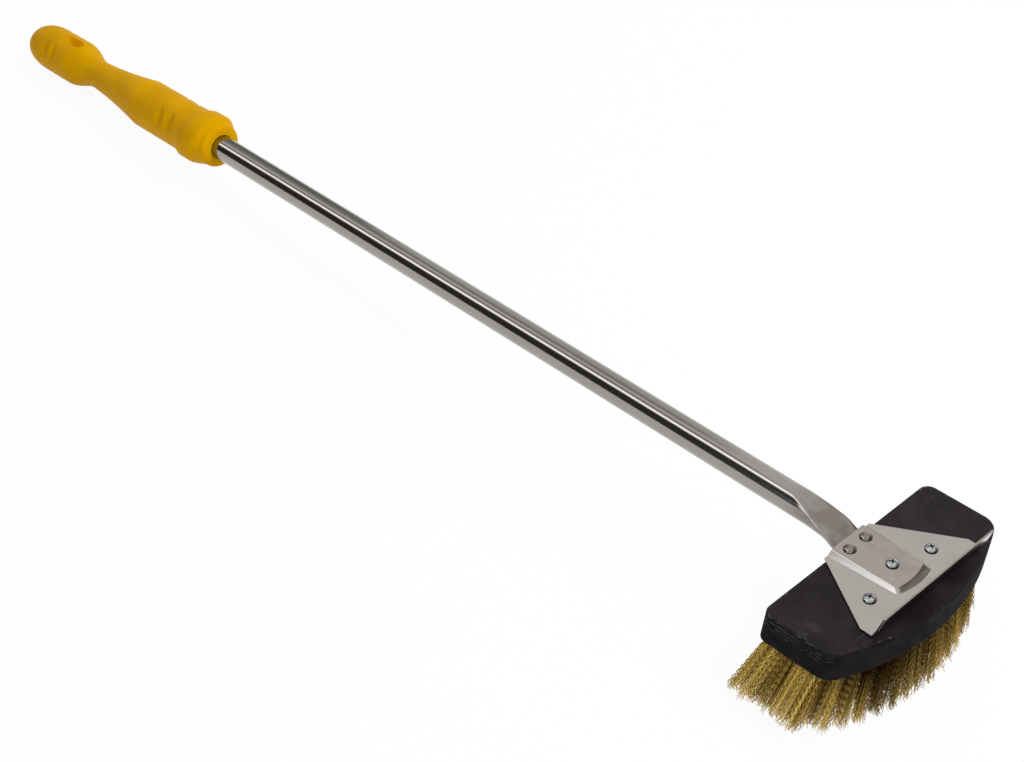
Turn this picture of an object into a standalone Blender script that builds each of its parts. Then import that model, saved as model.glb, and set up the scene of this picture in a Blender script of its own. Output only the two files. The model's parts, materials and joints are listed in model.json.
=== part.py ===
"""Pizza oven brush.

A black plywood head carries brass wire tufts below and a pressed steel scraper plate on top.
The flattened end of a long steel tube is riveted under the plate's embossed middle,
and a moulded grip is pushed over the tube's far end.

Run it with: blender --background --python part.py
Lengths are in metres and +Z is up. The head's own frame has its origin on the block's top, at the
middle of the plate's back edge: +X along the block, +Y towards the grip, +Z out of the block's top.
An empty carries that frame and leans it until bristles and grip both stand on the ground.
"""

import math
import random

import bmesh
import bpy
from mathutils import Matrix, Vector

# Clearances
TOUCH_GAP = 0.0003
HOLE_CLEARANCE = 0.0004

# Wooden block
BLOCK_LENGTH = 0.2035
BLOCK_DEPTH = 0.092
BLOCK_THICKNESS = 0.023
BLOCK_OFFSET = -0.0018
BLOCK_RAKE = math.radians(12.3)
FRONT_BOW_RADIUS = 0.212
BACK_CORNER_RADIUS = 0.009
FRONT_CORNER_RADIUS = 0.017
BLOCK_EDGE_ROUND = 0.0009
BRISTLE_SLICE = 0.003

# Brass wire tufts
BRISTLE_LENGTH = 0.055
TUFT_COLUMNS = 15
TUFT_ROWS = 6
TUFT_EDGE_MARGIN = 0.0085
STRANDS_ROUND_TUFT = 4
STRAND_RADIUS = 0.0009
TUFT_ROOT_RADIUS = 0.0024
TUFT_TIP_RADIUS = 0.0042
STRAND_LENGTH_SPREAD = 0.003
STRAND_ROOT_DEPTH = 0.002
LEAN_LEFT_END = math.radians(-36)
LEAN_MIDDLE = math.radians(-8)
LEAN_RIGHT_END = math.radians(0)
LEAN_FRONT = math.radians(-12)
LEAN_BACK = math.radians(18)
TIP_TRIM = 0.0005
STEEPEST_LEAN = math.radians(20)

# Scraper plate
SHEET = 0.0015
PLATE_BACK_WIDTH = 0.0552
PLATE_FRONT_WIDTH = 0.1344
PLATE_FLARE_LENGTH = 0.063
PLATE_LENGTH = 0.0741
FLANGE_LENGTH = 0.0242
FLANGE_BEND = math.radians(71.7)
FLANGE_BEND_RADIUS = 0.0022
EMBOSS_RISE = 0.0042
EMBOSS_BACK_WIDTH = 0.0464
EMBOSS_FRONT_WIDTH = 0.0400
EMBOSS_LENGTH = 0.062
EMBOSS_BOW = 0.003
EMBOSS_TOP_BACK_WIDTH = 0.0370
EMBOSS_TOP_FRONT_WIDTH = 0.0348
EMBOSS_TOP_LENGTH = 0.0583
EMBOSS_EDGE_ROUND = 0.0011

# Handle tube
TUBE_DIAMETER = 0.025
TUBE_WALL = 0.0015
TUBE_AXIS_HEIGHT = 0.01045
TUBE_RISE = math.radians(0.38)
TUBE_FLAT_WIDTH = 0.0305
TUBE_FLAT_REACH = 0.050
NECK_LENGTH = 0.018
NECK_NARROWING = 0.021
NECK_RAMP_START = 0.0025
NECK_RAMP = math.radians(22.5)
NARROWEST_FACET = math.radians(45)
FACET_POINTS = 8
TUBE_SIDES = 32

# Grip
GRIP_START = 0.805
GRIP_SOCKET = 0.130
GRIP_TILT = math.radians(0.85)
GRIP_SIDES = 32
MOUTH_CHAMFER = 0.0008
MOUTH_ROUND = 0.0034
NOSE_LENGTH = 0.005
NOSE_DIAMETER = 0.046
COLLAR_LENGTH = 0.053
COLLAR_RISE = 0.018
COLLAR_FALL = 0.024
COLLAR_DIAMETER = 0.058
COLLAR_SLANT = math.radians(16)
COLLAR_FADE = 0.025
BODY_LENGTH = 0.076
BODY_DIAMETER = 0.0517
TAPER_LENGTH = 0.093
TAPER_POWER = 1.5
WAIST_DIAMETER = 0.0306
BULB_LENGTH = 0.1235
BULB_DIAMETER = 0.0496
BULB_SHOULDER_LENGTH = 0.040
ROUND_END_LENGTH = 0.042
ROUND_END_SQUARENESS = 2.05
NOTCH_CUTTER_RADIUS = 0.005
NOTCH_DEPTH = 0.0022
NOTCH_SPACING = 0.015
NOTCH_TURN = math.radians(59)
BODY_NOTCH_PLACE = 0.071
BULB_NOTCH_PLACE = 0.294
HANG_SLOT_PLACE = 0.267
HANG_SLOT_LENGTH = 0.030
HANG_SLOT_WIDTH = 0.012

# Fasteners
SCREW_HEAD_DIAMETER = 0.010
SCREW_HEAD_HEIGHT = 0.0028
SCREW_HEAD_RIM = 0.0008
SCREW_SHANK_DIAMETER = 0.004
SCREW_POINT_LENGTH = 0.004
SCREW_LENGTH = 0.0145
CENTRE_SCREW_LENGTH = 0.018
SCREW_SIDE_PLACE = (0.0382, -0.0495)
SCREW_CENTRE_PLACE = (0.0, -0.0409)
CROSS_SLOT_LENGTH = 0.0052
CROSS_SLOT_WIDTH = 0.0011
CROSS_SLOT_DEPTH = 0.0016
RIVET_HEAD_DIAMETER = 0.010
RIVET_HEAD_HEIGHT = 0.0027
RIVET_SHANK_DIAMETER = 0.005
RIVET_TAIL_DIAMETER = 0.0075
RIVET_TAIL_HEIGHT = 0.0018
RIVET_TAIL_CHAMFER = 0.0006
RIVET_PLACE = (0.0099, -0.0083)
FASTENER_SIDES = 20

# Heights in the head's frame that follow from the sizes above
PLATE_UNDERSIDE = TOUCH_GAP
PLATE_TOP = PLATE_UNDERSIDE + SHEET
POCKET_CEILING = PLATE_UNDERSIDE + EMBOSS_RISE
EMBOSS_TOP = POCKET_CEILING + SHEET
TUBE_FLAT_THICKNESS = EMBOSS_RISE - TOUCH_GAP
TUBE_FLAT_CENTRE = TOUCH_GAP + TUBE_FLAT_THICKNESS / 2
SLICE_TOP = BRISTLE_SLICE - BLOCK_THICKNESS
BLOCK_UNDERSIDE = SLICE_TOP + TOUCH_GAP
UNDERSIDE_SHIFT = BLOCK_OFFSET - BLOCK_THICKNESS * math.tan(BLOCK_RAKE)
GRIP_LENGTH = COLLAR_LENGTH + BODY_LENGTH + TAPER_LENGTH + BULB_LENGTH
TUBE_END = GRIP_START + GRIP_SOCKET


# Scene and object helpers

def clear_scene():
    for old in list(bpy.data.objects):
        bpy.data.objects.remove(old, do_unlink=True)


def new_collection(name):
    collection = bpy.data.collections.new(name)
    bpy.context.scene.collection.children.link(collection)
    return collection


def finish(name, colour, roughness, metallic):
    material = bpy.data.materials.new(name)
    material.use_nodes = True
    shader = material.node_tree.nodes["Principled BSDF"]
    shader.inputs["Base Color"].default_value = (*colour, 1.0)
    shader.inputs["Roughness"].default_value = roughness
    shader.inputs["Metallic"].default_value = metallic
    return material


def add_part(name, mesh, material):
    part = bpy.data.objects.new(name, mesh)
    part.data.materials.append(material)
    part.parent = head_frame
    parts.objects.link(part)
    return part


def add_cutter(name, mesh):
    cutter = bpy.data.objects.new(name, mesh)
    cutter.display_type = "WIRE"
    cutter.hide_render = True
    cutter.parent = head_frame
    cutters.objects.link(cutter)
    return cutter


def cut(part, cutter, operation="DIFFERENCE"):
    boolean = part.modifiers.new(cutter.name, "BOOLEAN")
    boolean.operation = operation
    boolean.solver = "EXACT"
    boolean.object = cutter


def to_mesh(name, bm):
    bmesh.ops.recalc_face_normals(bm, faces=bm.faces)
    mesh = bpy.data.meshes.new(name)
    bm.to_mesh(mesh)
    bm.free()
    return mesh


def shade_round(mesh, angle=math.radians(35)):
    mesh.shade_smooth()
    mesh.set_sharp_from_angle(angle=angle)


# Shape helpers

def arc(centre, radius, start, end, steps):
    points = []
    for step in range(steps + 1):
        angle = start + (end - start) * step / steps
        points.append((centre[0] + radius * math.cos(angle), centre[1] + radius * math.sin(angle)))
    return points


def blend(start, end, share):
    """Value that leaves start and reaches end with no slope."""
    share = min(max(share, 0.0), 1.0)
    return start + (end - start) * share * share * (3 - 2 * share)


def ease_out(start, end, share, power):
    """Value that leaves start quickly and reaches end with no slope."""
    return end + (start - end) * (1 - share) ** power


def prism(outline, bottom, top):
    bm = bmesh.new()
    floor = bm.faces.new([bm.verts.new((x, y, bottom)) for x, y in outline])
    raised = bmesh.ops.extrude_face_region(bm, geom=[floor])["geom"]
    walls_top = [item for item in raised if isinstance(item, bmesh.types.BMVert)]
    bmesh.ops.translate(bm, verts=walls_top, vec=(0, 0, top - bottom))
    return bm


def cylinder_mesh(name, place, radius, bottom, top, sides=FASTENER_SIDES):
    bm = bmesh.new()
    middle = Matrix.Translation((place[0], place[1], (bottom + top) / 2))
    bmesh.ops.create_cone(bm, cap_ends=True, segments=sides, radius1=radius, radius2=radius,
                          depth=top - bottom, matrix=middle)
    return to_mesh(name, bm)


def turned_mesh(name, profile, sides, matrix):
    """Turn a profile of (radius, height) points, given from the top down, about the Z axis."""
    outline = bpy.data.meshes.new(name + "_profile")
    vertices = [(radius, 0, height) for radius, height in profile]
    outline.from_pydata(vertices, [(i, i + 1) for i in range(len(profile) - 1)], [])
    guide = bpy.data.objects.new(name + "_profile", outline)
    cutters.objects.link(guide)
    screw = guide.modifiers.new("turn", "SCREW")
    screw.axis = "Z"
    screw.angle = math.tau
    screw.steps = sides
    screw.render_steps = sides
    screw.use_merge_vertices = True
    screw.merge_threshold = 0.00001
    turned = bpy.data.meshes.new_from_object(guide.evaluated_get(bpy.context.evaluated_depsgraph_get()))
    bpy.data.objects.remove(guide, do_unlink=True)
    bm = bmesh.new()
    bm.from_mesh(turned)
    bpy.data.meshes.remove(turned)
    bmesh.ops.transform(bm, matrix=matrix, verts=bm.verts)
    mesh = to_mesh(name, bm)
    shade_round(mesh)
    return mesh


# Wooden block and bristles

def front_corner_centre():
    """Centre of the right front corner's arc, which touches the bowed front and the end."""
    corner_x = BLOCK_LENGTH / 2 - FRONT_CORNER_RADIUS
    reach = FRONT_BOW_RADIUS - FRONT_CORNER_RADIUS
    return corner_x, FRONT_BOW_RADIUS - BLOCK_DEPTH - math.sqrt(reach ** 2 - corner_x ** 2)


def front_edge(x, inset):
    """Y of the block's front edge at x, moved into the block by the inset."""
    corner_x, corner_y = front_corner_centre()
    bow_radius = FRONT_BOW_RADIUS - inset
    bow_end = corner_x * bow_radius / (FRONT_BOW_RADIUS - FRONT_CORNER_RADIUS)
    if abs(x) < bow_end:
        return FRONT_BOW_RADIUS - BLOCK_DEPTH - math.sqrt(bow_radius ** 2 - x ** 2)
    across = min(abs(x) - corner_x, FRONT_CORNER_RADIUS - inset)
    return corner_y - math.sqrt((FRONT_CORNER_RADIUS - inset) ** 2 - across ** 2)


def block_outline():
    bow_centre = (0, FRONT_BOW_RADIUS - BLOCK_DEPTH)
    corner_x, corner_y = front_corner_centre()
    bow_angle = math.atan2(corner_y - bow_centre[1], corner_x)
    back_centre = (BLOCK_LENGTH / 2 - BACK_CORNER_RADIUS, -BACK_CORNER_RADIUS)
    right = arc(back_centre, BACK_CORNER_RADIUS, math.pi / 2, 0, 6)
    right += arc((corner_x, corner_y), FRONT_CORNER_RADIUS, 0, bow_angle, 8)
    front = arc(bow_centre, FRONT_BOW_RADIUS, bow_angle, -math.pi - bow_angle, 24)[1:-1]
    left = [(-x, y) for x, y in reversed(right)]
    return right + front + left


def rake(bm):
    """Leans the walls of an upright prism towards -X on their way down."""
    for vertex in bm.verts:
        vertex.co.x += BLOCK_OFFSET + vertex.co.z * math.tan(BLOCK_RAKE)


def make_block():
    bm = prism(block_outline(), BLOCK_UNDERSIDE, 0)
    rim = [edge for edge in bm.edges if all(vertex.co.z > -TOUCH_GAP / 2 for vertex in edge.verts)]
    bmesh.ops.bevel(bm, geom=rim, offset=BLOCK_EDGE_ROUND, segments=2, profile=0.5,
                    affect="EDGES", material=-1)
    rake(bm)
    return add_part("head_block", to_mesh("head_block", bm), black_plywood)


def tuft_lean(x, y):
    """Sideways and fore-and-aft lean of the tuft that is rooted at x, y."""
    side = x / (BLOCK_LENGTH / 2)
    slope = (LEAN_RIGHT_END - LEAN_LEFT_END) / 2
    curve = (LEAN_RIGHT_END + LEAN_LEFT_END) / 2 - LEAN_MIDDLE
    sideways = LEAN_MIDDLE + slope * side + curve * side * side
    along = LEAN_BACK + (LEAN_FRONT - LEAN_BACK) * (-y / BLOCK_DEPTH)
    return sideways, along


def tuft_roots():
    reach = BLOCK_LENGTH / 2 - TUFT_EDGE_MARGIN
    back = -TUFT_EDGE_MARGIN
    for column in range(TUFT_COLUMNS):
        x = -reach + 2 * reach * column / (TUFT_COLUMNS - 1)
        front = front_edge(x, TUFT_EDGE_MARGIN)
        for row in range(TUFT_ROWS):
            yield x, back + (front - back) * row / (TUFT_ROWS - 1)


def bristle_strands():
    """Root and tip of each strand: a middle one and a ring round it in every tuft."""
    dice = random.Random(7)
    strands = []
    for x, y in tuft_roots():
        sideways, along = tuft_lean(x, y)
        direction = Vector((math.tan(sideways), math.tan(along), -1)).normalized()
        middle = Vector((x + UNDERSIDE_SHIFT, y, -BLOCK_THICKNESS))
        turn = dice.uniform(0, math.tau)
        spots = [(0, 0)]
        for index in range(STRANDS_ROUND_TUFT):
            angle = turn + math.tau * index / STRANDS_ROUND_TUFT
            spots.append((math.cos(angle), math.sin(angle)))
        for spot_x, spot_y in spots:
            offset = Vector((spot_x, spot_y, 0))
            length = BRISTLE_LENGTH - dice.uniform(0, STRAND_LENGTH_SPREAD)
            root = middle + offset * TUFT_ROOT_RADIUS
            tip = middle + direction * length + offset * TUFT_TIP_RADIUS
            strands.append((root, tip))
    return strands


def height_when_leaning(point, lean):
    return point.z * math.cos(lean) - point.y * math.sin(lean)


def resting_lean(strands, grip_points):
    """Lean that brings the trimmed bristle tips and the grip down to one level."""
    low, high = 0.0, STEEPEST_LEAN
    for _ in range(40):
        lean = (low + high) / 2
        bristles = min(height_when_leaning(tip, lean) for _, tip in strands) + TIP_TRIM
        grip = min(height_when_leaning(point, lean) for point in grip_points)
        if grip > bristles:
            low = lean
        else:
            high = lean
    return lean, bristles


def make_bristles(strands, lean, ground):
    """The block's lowest slice with its wire strands, trimmed flat where they meet the ground."""
    bm = bmesh.new()
    for root, tip in strands:
        run = (tip - root).normalized()
        side = run.cross(Vector((0, 1, 0))).normalized()
        front = run.cross(side)
        start = root - run * STRAND_ROOT_DEPTH
        rings = [[], []]
        for corner in range(3):
            angle = math.tau * corner / 3
            offset = (side * math.cos(angle) + front * math.sin(angle)) * STRAND_RADIUS
            end = tip + offset
            depth = height_when_leaning(end, lean) - ground
            if depth < 0:
                end = end - run * (depth / height_when_leaning(run, lean))
            rings[0].append(bm.verts.new(start + offset))
            rings[1].append(bm.verts.new(end))
        bm.faces.new(rings[0])
        bm.faces.new(rings[1])
        for corner in range(3):
            following = (corner + 1) % 3
            bm.faces.new((rings[0][corner], rings[0][following], rings[1][following], rings[1][corner]))
    wires = add_cutter("wire_strands", to_mesh("wire_strands", bm))
    bm = prism(block_outline(), -BLOCK_THICKNESS, SLICE_TOP)
    rake(bm)
    pad = add_part("bristle_pad", to_mesh("bristle_pad", bm), brass_wire)
    cut(pad, wires, "UNION")
    return pad


# Scraper plate

def emboss_outline(back_width, front_width, length):
    """Half an emboss outline mirrored: from the open left back end round the bowed front."""
    half = front_width / 2
    bow_radius = (half ** 2 + EMBOSS_BOW ** 2) / (2 * EMBOSS_BOW)
    spread = math.asin(half / bow_radius)
    centre = (0, -length - EMBOSS_BOW + bow_radius)
    bow = arc(centre, bow_radius, -math.pi / 2 - spread, -math.pi / 2 + spread, 8)
    return [(-back_width / 2, 0)] + bow + [(back_width / 2, 0)]


def make_scraper():
    """A sheet with an embossed pocket, open at the back, and its front edge bent up."""
    bm = bmesh.new()
    setback = FLANGE_BEND_RADIUS * math.tan(FLANGE_BEND / 2)
    front = setback - PLATE_LENGTH
    back_half = PLATE_BACK_WIDTH / 2
    front_half = PLATE_FRONT_WIDTH / 2
    foot = [bm.verts.new((x, y, PLATE_UNDERSIDE))
            for x, y in emboss_outline(EMBOSS_BACK_WIDTH, EMBOSS_FRONT_WIDTH, EMBOSS_LENGTH)]
    crown = [bm.verts.new((x, y, POCKET_CEILING))
             for x, y in emboss_outline(EMBOSS_TOP_BACK_WIDTH, EMBOSS_TOP_FRONT_WIDTH, EMBOSS_TOP_LENGTH)]
    rim = [(back_half, 0), (front_half, -PLATE_FLARE_LENGTH), (front_half, front),
           (-front_half, front), (-front_half, -PLATE_FLARE_LENGTH), (-back_half, 0)]
    rim = [bm.verts.new((x, y, PLATE_UNDERSIDE)) for x, y in rim]
    bm.faces.new(list(reversed(foot + rim)))
    bm.faces.new(crown)
    for index in range(len(foot) - 1):
        bm.faces.new((foot[index], foot[index + 1], crown[index + 1], crown[index]))
    creases = [edge for edge in bm.edges if len(edge.link_faces) == 2]
    front_corners = (foot[1], foot[-2])
    keep = []
    for edge in creases:
        sloping = abs(edge.verts[0].co.z - edge.verts[1].co.z) > EMBOSS_RISE / 2
        if not sloping or any(corner in edge.verts for corner in front_corners):
            keep.append(edge)
    lip = bm.edges.get((rim[2], rim[3]))
    bend_centre = (0, front, PLATE_UNDERSIDE + SHEET + FLANGE_BEND_RADIUS)
    turned = bmesh.ops.spin(bm, geom=[lip, *lip.verts], cent=bend_centre, axis=(1, 0, 0),
                            angle=-FLANGE_BEND, steps=6, use_merge=False)["geom_last"]
    last_edge = [item for item in turned if isinstance(item, bmesh.types.BMEdge)]
    raised = bmesh.ops.extrude_edge_only(bm, edges=last_edge)["geom"]
    tip = [item for item in raised if isinstance(item, bmesh.types.BMVert)]
    straight = FLANGE_LENGTH - setback
    rise = Vector((0, -math.cos(FLANGE_BEND), math.sin(FLANGE_BEND))) * straight
    bmesh.ops.translate(bm, verts=tip, vec=rise)
    bmesh.ops.bevel(bm, geom=keep, offset=EMBOSS_EDGE_ROUND, segments=2, profile=0.5,
                    affect="EDGES", material=-1)
    mesh = bpy.data.meshes.new("scraper_plate")
    bm.to_mesh(mesh)
    bm.free()
    shade_round(mesh)
    plate = add_part("scraper_plate", mesh, polished_steel)
    wall = plate.modifiers.new("sheet", "SOLIDIFY")
    wall.thickness = SHEET
    wall.offset = 1
    wall.use_even_offset = True
    return plate


# Handle tube

def axis_height(y):
    """Height of the tube's axis, which rises slightly towards the grip."""
    return TUBE_AXIS_HEIGHT + max(y, 0) * math.tan(TUBE_RISE)


def tube_section(y):
    """Half height, straight half width and centre height of the tube's outside at y."""
    roundness = blend(0, 1, y / NECK_LENGTH)
    flat_half = TUBE_FLAT_THICKNESS / 2
    half_height = flat_half + (TUBE_DIAMETER / 2 - flat_half) * roundness
    straight_half = blend(TUBE_FLAT_WIDTH / 2 - flat_half, 0, y / NECK_NARROWING)
    flat_bottom = TUBE_FLAT_CENTRE - flat_half
    bottom = flat_bottom + (axis_height(y) - TUBE_DIAMETER / 2 - flat_bottom) * roundness
    return half_height, straight_half, bottom + half_height


def facet_height(y):
    """Height of the slope that the press left on top of the neck."""
    return EMBOSS_RISE + max(y - NECK_RAMP_START, 0) * math.tan(NECK_RAMP)


def tube_ring(bm, y, inset):
    """A ring whose first points lie on the neck's facet, between its two creases."""
    half_height, straight_half, centre = tube_section(y)
    radius = half_height - inset
    ceiling = facet_height(y) - inset
    slope = min(max((ceiling - centre) / radius, -1), 1)
    crease = max(math.acos(slope), NARROWEST_FACET)
    round_points = TUBE_SIDES - FACET_POINTS
    angles = [crease * (2 * step / (FACET_POINTS - 1) - 1) for step in range(FACET_POINTS)]
    step_size = (math.tau - 2 * crease) / (round_points + 1)
    angles += [crease + step_size * step for step in range(1, round_points + 1)]
    ring = []
    for angle in angles:
        x = math.copysign(straight_half, math.sin(angle)) + radius * math.sin(angle)
        ring.append(bm.verts.new((x, y, min(centre + radius * math.cos(angle), ceiling))))
    return ring


def make_tube():
    """Loft from the flattened end through the neck to the round tube, and back along the bore."""
    ramp = math.tan(NECK_RAMP)
    facet_climb = TUBE_AXIS_HEIGHT + TUBE_DIAMETER / 2 - EMBOSS_RISE + NECK_RAMP_START * ramp
    facet_reach = facet_climb / (ramp - math.tan(TUBE_RISE))
    neck_steps = 9
    facet_steps = 10
    stations = [-TUBE_FLAT_REACH]
    stations += [NECK_LENGTH * step / neck_steps for step in range(neck_steps + 1)]
    stations += [NECK_LENGTH + (facet_reach - NECK_LENGTH) * step / facet_steps
                 for step in range(1, facet_steps + 1)]
    stations += [TUBE_END]
    bm = bmesh.new()
    rings = [tube_ring(bm, y, 0) for y in stations]
    rings += [tube_ring(bm, y, TUBE_WALL) for y in reversed(stations)]
    for index, ring in enumerate(rings):
        following = rings[(index + 1) % len(rings)]
        for side in range(TUBE_SIDES):
            beside = (side + 1) % TUBE_SIDES
            bm.faces.new((ring[side], ring[beside], following[beside], following[side]))
    mesh = to_mesh("handle_tube", bm)
    shade_round(mesh)
    return add_part("handle_tube", mesh, brushed_steel)


# Grip

def stretch(start, length, steps, radius_at):
    """Points of (radius, distance from the mouth) along one stretch of the grip."""
    shares = [step / steps for step in range(1, steps + 1)]
    return [(radius_at(share), start + length * share) for share in shares]


def grip_outside():
    """The grip's outside from its mouth to its far end: nose, collar, body, taper and bulb."""
    nose = NOSE_DIAMETER / 2
    collar = COLLAR_DIAMETER / 2
    body = BODY_DIAMETER / 2
    waist = WAIST_DIAMETER / 2
    bulb = BULB_DIAMETER / 2
    taper_start = COLLAR_LENGTH + BODY_LENGTH
    bulb_start = taper_start + TAPER_LENGTH
    round_start = GRIP_LENGTH - ROUND_END_LENGTH

    def collar_rise(share):
        return blend(nose, collar, share)

    def collar_fall(share):
        return blend(collar, body, share)

    def straight(share):
        return body

    def taper(share):
        return ease_out(body, waist, share, TAPER_POWER)

    def shoulder(share):
        return blend(waist, bulb, share)

    outside = [(0.0, 0.0)]
    outside += arc((nose - MOUTH_ROUND, MOUTH_ROUND), MOUTH_ROUND, -math.pi / 2, 0, 4)
    outside += [(nose, NOSE_LENGTH)]
    outside += stretch(NOSE_LENGTH, COLLAR_RISE, 6, collar_rise)
    outside += [(collar, COLLAR_LENGTH - COLLAR_FALL)]
    outside += stretch(COLLAR_LENGTH - COLLAR_FALL, COLLAR_FALL, 7, collar_fall)
    outside += stretch(COLLAR_LENGTH, COLLAR_FADE, 4, straight)
    outside += [(body, taper_start)]
    outside += stretch(taper_start, TAPER_LENGTH, 8, taper)
    outside += stretch(bulb_start, BULB_SHOULDER_LENGTH, 8, shoulder)
    steps = 10
    power = 2 / ROUND_END_SQUARENESS
    for step in range(steps):
        angle = math.pi / 2 * step / steps
        along = round_start + ROUND_END_LENGTH * math.sin(angle) ** power
        outside.append((bulb * math.cos(angle) ** power, along))
    outside.append((0.0, GRIP_LENGTH))
    return outside


def slanted(point):
    """Leans the collar's upper side towards the head. The grip's own frame has +Z along it, +Y down."""
    out_of_nose = blend(0, 1, point.z / (NOSE_LENGTH + COLLAR_RISE))
    into_body = blend(1, 0, (point.z - COLLAR_LENGTH) / COLLAR_FADE)
    shift = math.tan(COLLAR_SLANT) * point.y * out_of_nose * into_body
    return Vector((point.x, point.y, point.z + shift))


def grip_place(tilt):
    """Turns the grip's own axis from +Z to the tube's line, lowered by the tilt, at the tube's end."""
    place = Matrix.Translation((0, GRIP_START, axis_height(GRIP_START)))
    return place @ Matrix.Rotation(TUBE_RISE - tilt - math.pi / 2, 4, "X")


def grip_underside():
    """Points along the grip's lowest line, from its mouth to its far end."""
    place = grip_place(GRIP_TILT)
    return [place @ slanted(Vector((0, radius, along))) for radius, along in grip_outside()]


def make_grip():
    """A turned grip with a slanted collar, a bored socket, finger notches and a hanging slot."""
    mesh = turned_mesh("grip", grip_outside(), GRIP_SIDES, Matrix.Identity(4))
    for vertex in mesh.vertices:
        vertex.co = slanted(vertex.co)
    mesh.transform(grip_place(GRIP_TILT))
    grip = add_part("grip", mesh, yellow_plastic)
    bore = TUBE_DIAMETER / 2 + TOUCH_GAP
    socket_end = GRIP_SOCKET + TOUCH_GAP
    socket = [(0.0, socket_end), (bore, socket_end), (bore, MOUTH_CHAMFER)]
    socket += [(bore + 2 * MOUTH_CHAMFER, -MOUTH_CHAMFER), (0.0, -MOUTH_CHAMFER)]
    cut(grip, add_cutter("socket", turned_mesh("socket", socket, TUBE_SIDES, grip_place(0))))
    for label, along, diameter in (("body", BODY_NOTCH_PLACE, BODY_DIAMETER),
                                   ("bulb", BULB_NOTCH_PLACE, BULB_DIAMETER)):
        for side in (-1, 1):
            for shift in (-0.5, 0.5):
                name = f"{label}_notch_{side}_{shift}"
                middle = along + shift * NOTCH_SPACING
                cut(grip, notch_cutter(name, side * NOTCH_TURN, middle, diameter))
    cut(grip, hang_slot_cutter())
    return grip


def notch_cutter(name, turn, along, diameter):
    """Rod that lies across the grip's surface, turned about the grip from its top."""
    reach = diameter / 2 + NOTCH_CUTTER_RADIUS - NOTCH_DEPTH
    mesh = cylinder_mesh(name, (0, 0), NOTCH_CUTTER_RADIUS, -diameter / 2, diameter / 2, 28)
    spot = Matrix.Rotation(turn, 4, "Z") @ Matrix.Translation((0, -reach, along))
    mesh.transform(grip_place(GRIP_TILT) @ spot @ Matrix.Rotation(math.pi / 2, 4, "Y"))
    return add_cutter(name, mesh)


def hang_slot_cutter():
    """Upright prism with round ends that passes through the bulb."""
    radius = HANG_SLOT_WIDTH / 2
    run = HANG_SLOT_LENGTH / 2 - radius
    outline = arc((0, HANG_SLOT_PLACE + run), radius, 0, math.pi, 8)
    outline += arc((0, HANG_SLOT_PLACE - run), radius, math.pi, math.tau, 8)
    mesh = to_mesh("hang_slot", prism(outline, -BULB_DIAMETER, BULB_DIAMETER))
    mesh.transform(grip_place(GRIP_TILT) @ Matrix.Rotation(math.pi / 2, 4, "X"))
    return add_cutter("hang_slot", mesh)


# Fasteners and the holes they sit in

def dome(radius, height, base, steps):
    """Profile of a domed head from its crown to its rim."""
    ball = (radius ** 2 + height ** 2) / (2 * height)
    spread = math.asin(radius / ball)
    points = []
    for step in range(steps + 1):
        angle = spread * step / steps
        points.append((ball * math.sin(angle), base + height - ball * (1 - math.cos(angle))))
    return points


def cross_outline(place):
    arm = CROSS_SLOT_LENGTH / 2
    half = CROSS_SLOT_WIDTH / 2
    quarter = [Vector((arm, -half)), Vector((arm, half)), Vector((half, half))]
    outline = []
    for turn in range(4):
        rotation = Matrix.Rotation(turn * math.pi / 2, 2)
        outline += [Vector(place) + rotation @ point for point in quarter]
    return outline


def make_screw(name, place, seat, length):
    """Pan head wood screw whose head rests on a surface at the height of the seat."""
    base = seat + TOUCH_GAP
    head = SCREW_HEAD_DIAMETER / 2
    shank = SCREW_SHANK_DIAMETER / 2
    profile = dome(head, SCREW_HEAD_HEIGHT - SCREW_HEAD_RIM, base + SCREW_HEAD_RIM, 5)
    profile += [(head, base), (shank, base), (shank, base - length + SCREW_POINT_LENGTH)]
    profile += [(0.0, base - length)]
    spot = Matrix.Translation((place[0], place[1], 0))
    screw = add_part(name, turned_mesh(name, profile, FASTENER_SIDES, spot), zinc_steel)
    slot_floor = base + SCREW_HEAD_HEIGHT - CROSS_SLOT_DEPTH
    bm = prism(cross_outline(place), slot_floor, base + 2 * SCREW_HEAD_HEIGHT)
    cross = add_cutter(name + "_cross", to_mesh(name + "_cross", bm))
    cut(screw, cross)
    return screw


def make_rivet(name, place):
    """Domed rivet through the emboss and the flattened tube, with its tail spread below."""
    base = EMBOSS_TOP + TOUCH_GAP
    tail_top = TUBE_FLAT_CENTRE - TUBE_FLAT_THICKNESS / 2 - TOUCH_GAP
    shank = RIVET_SHANK_DIAMETER / 2
    tail = RIVET_TAIL_DIAMETER / 2
    profile = dome(RIVET_HEAD_DIAMETER / 2, RIVET_HEAD_HEIGHT, base, 6)
    tail_end = tail_top - RIVET_TAIL_HEIGHT
    profile += [(shank, base), (shank, tail_top), (tail, tail_top)]
    profile += [(tail, tail_end + RIVET_TAIL_CHAMFER), (tail - RIVET_TAIL_CHAMFER, tail_end)]
    profile += [(0.0, tail_end)]
    spot = Matrix.Translation((place[0], place[1], 0))
    return add_part(name, turned_mesh(name, profile, FASTENER_SIDES, spot), rivet_steel)


def drill(name, place, diameter, bottom, top, pieces):
    hole = cylinder_mesh(name, place, diameter / 2 + HOLE_CLEARANCE, bottom, top)
    cutter = add_cutter(name, hole)
    for piece in pieces:
        cut(piece, cutter)


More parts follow.
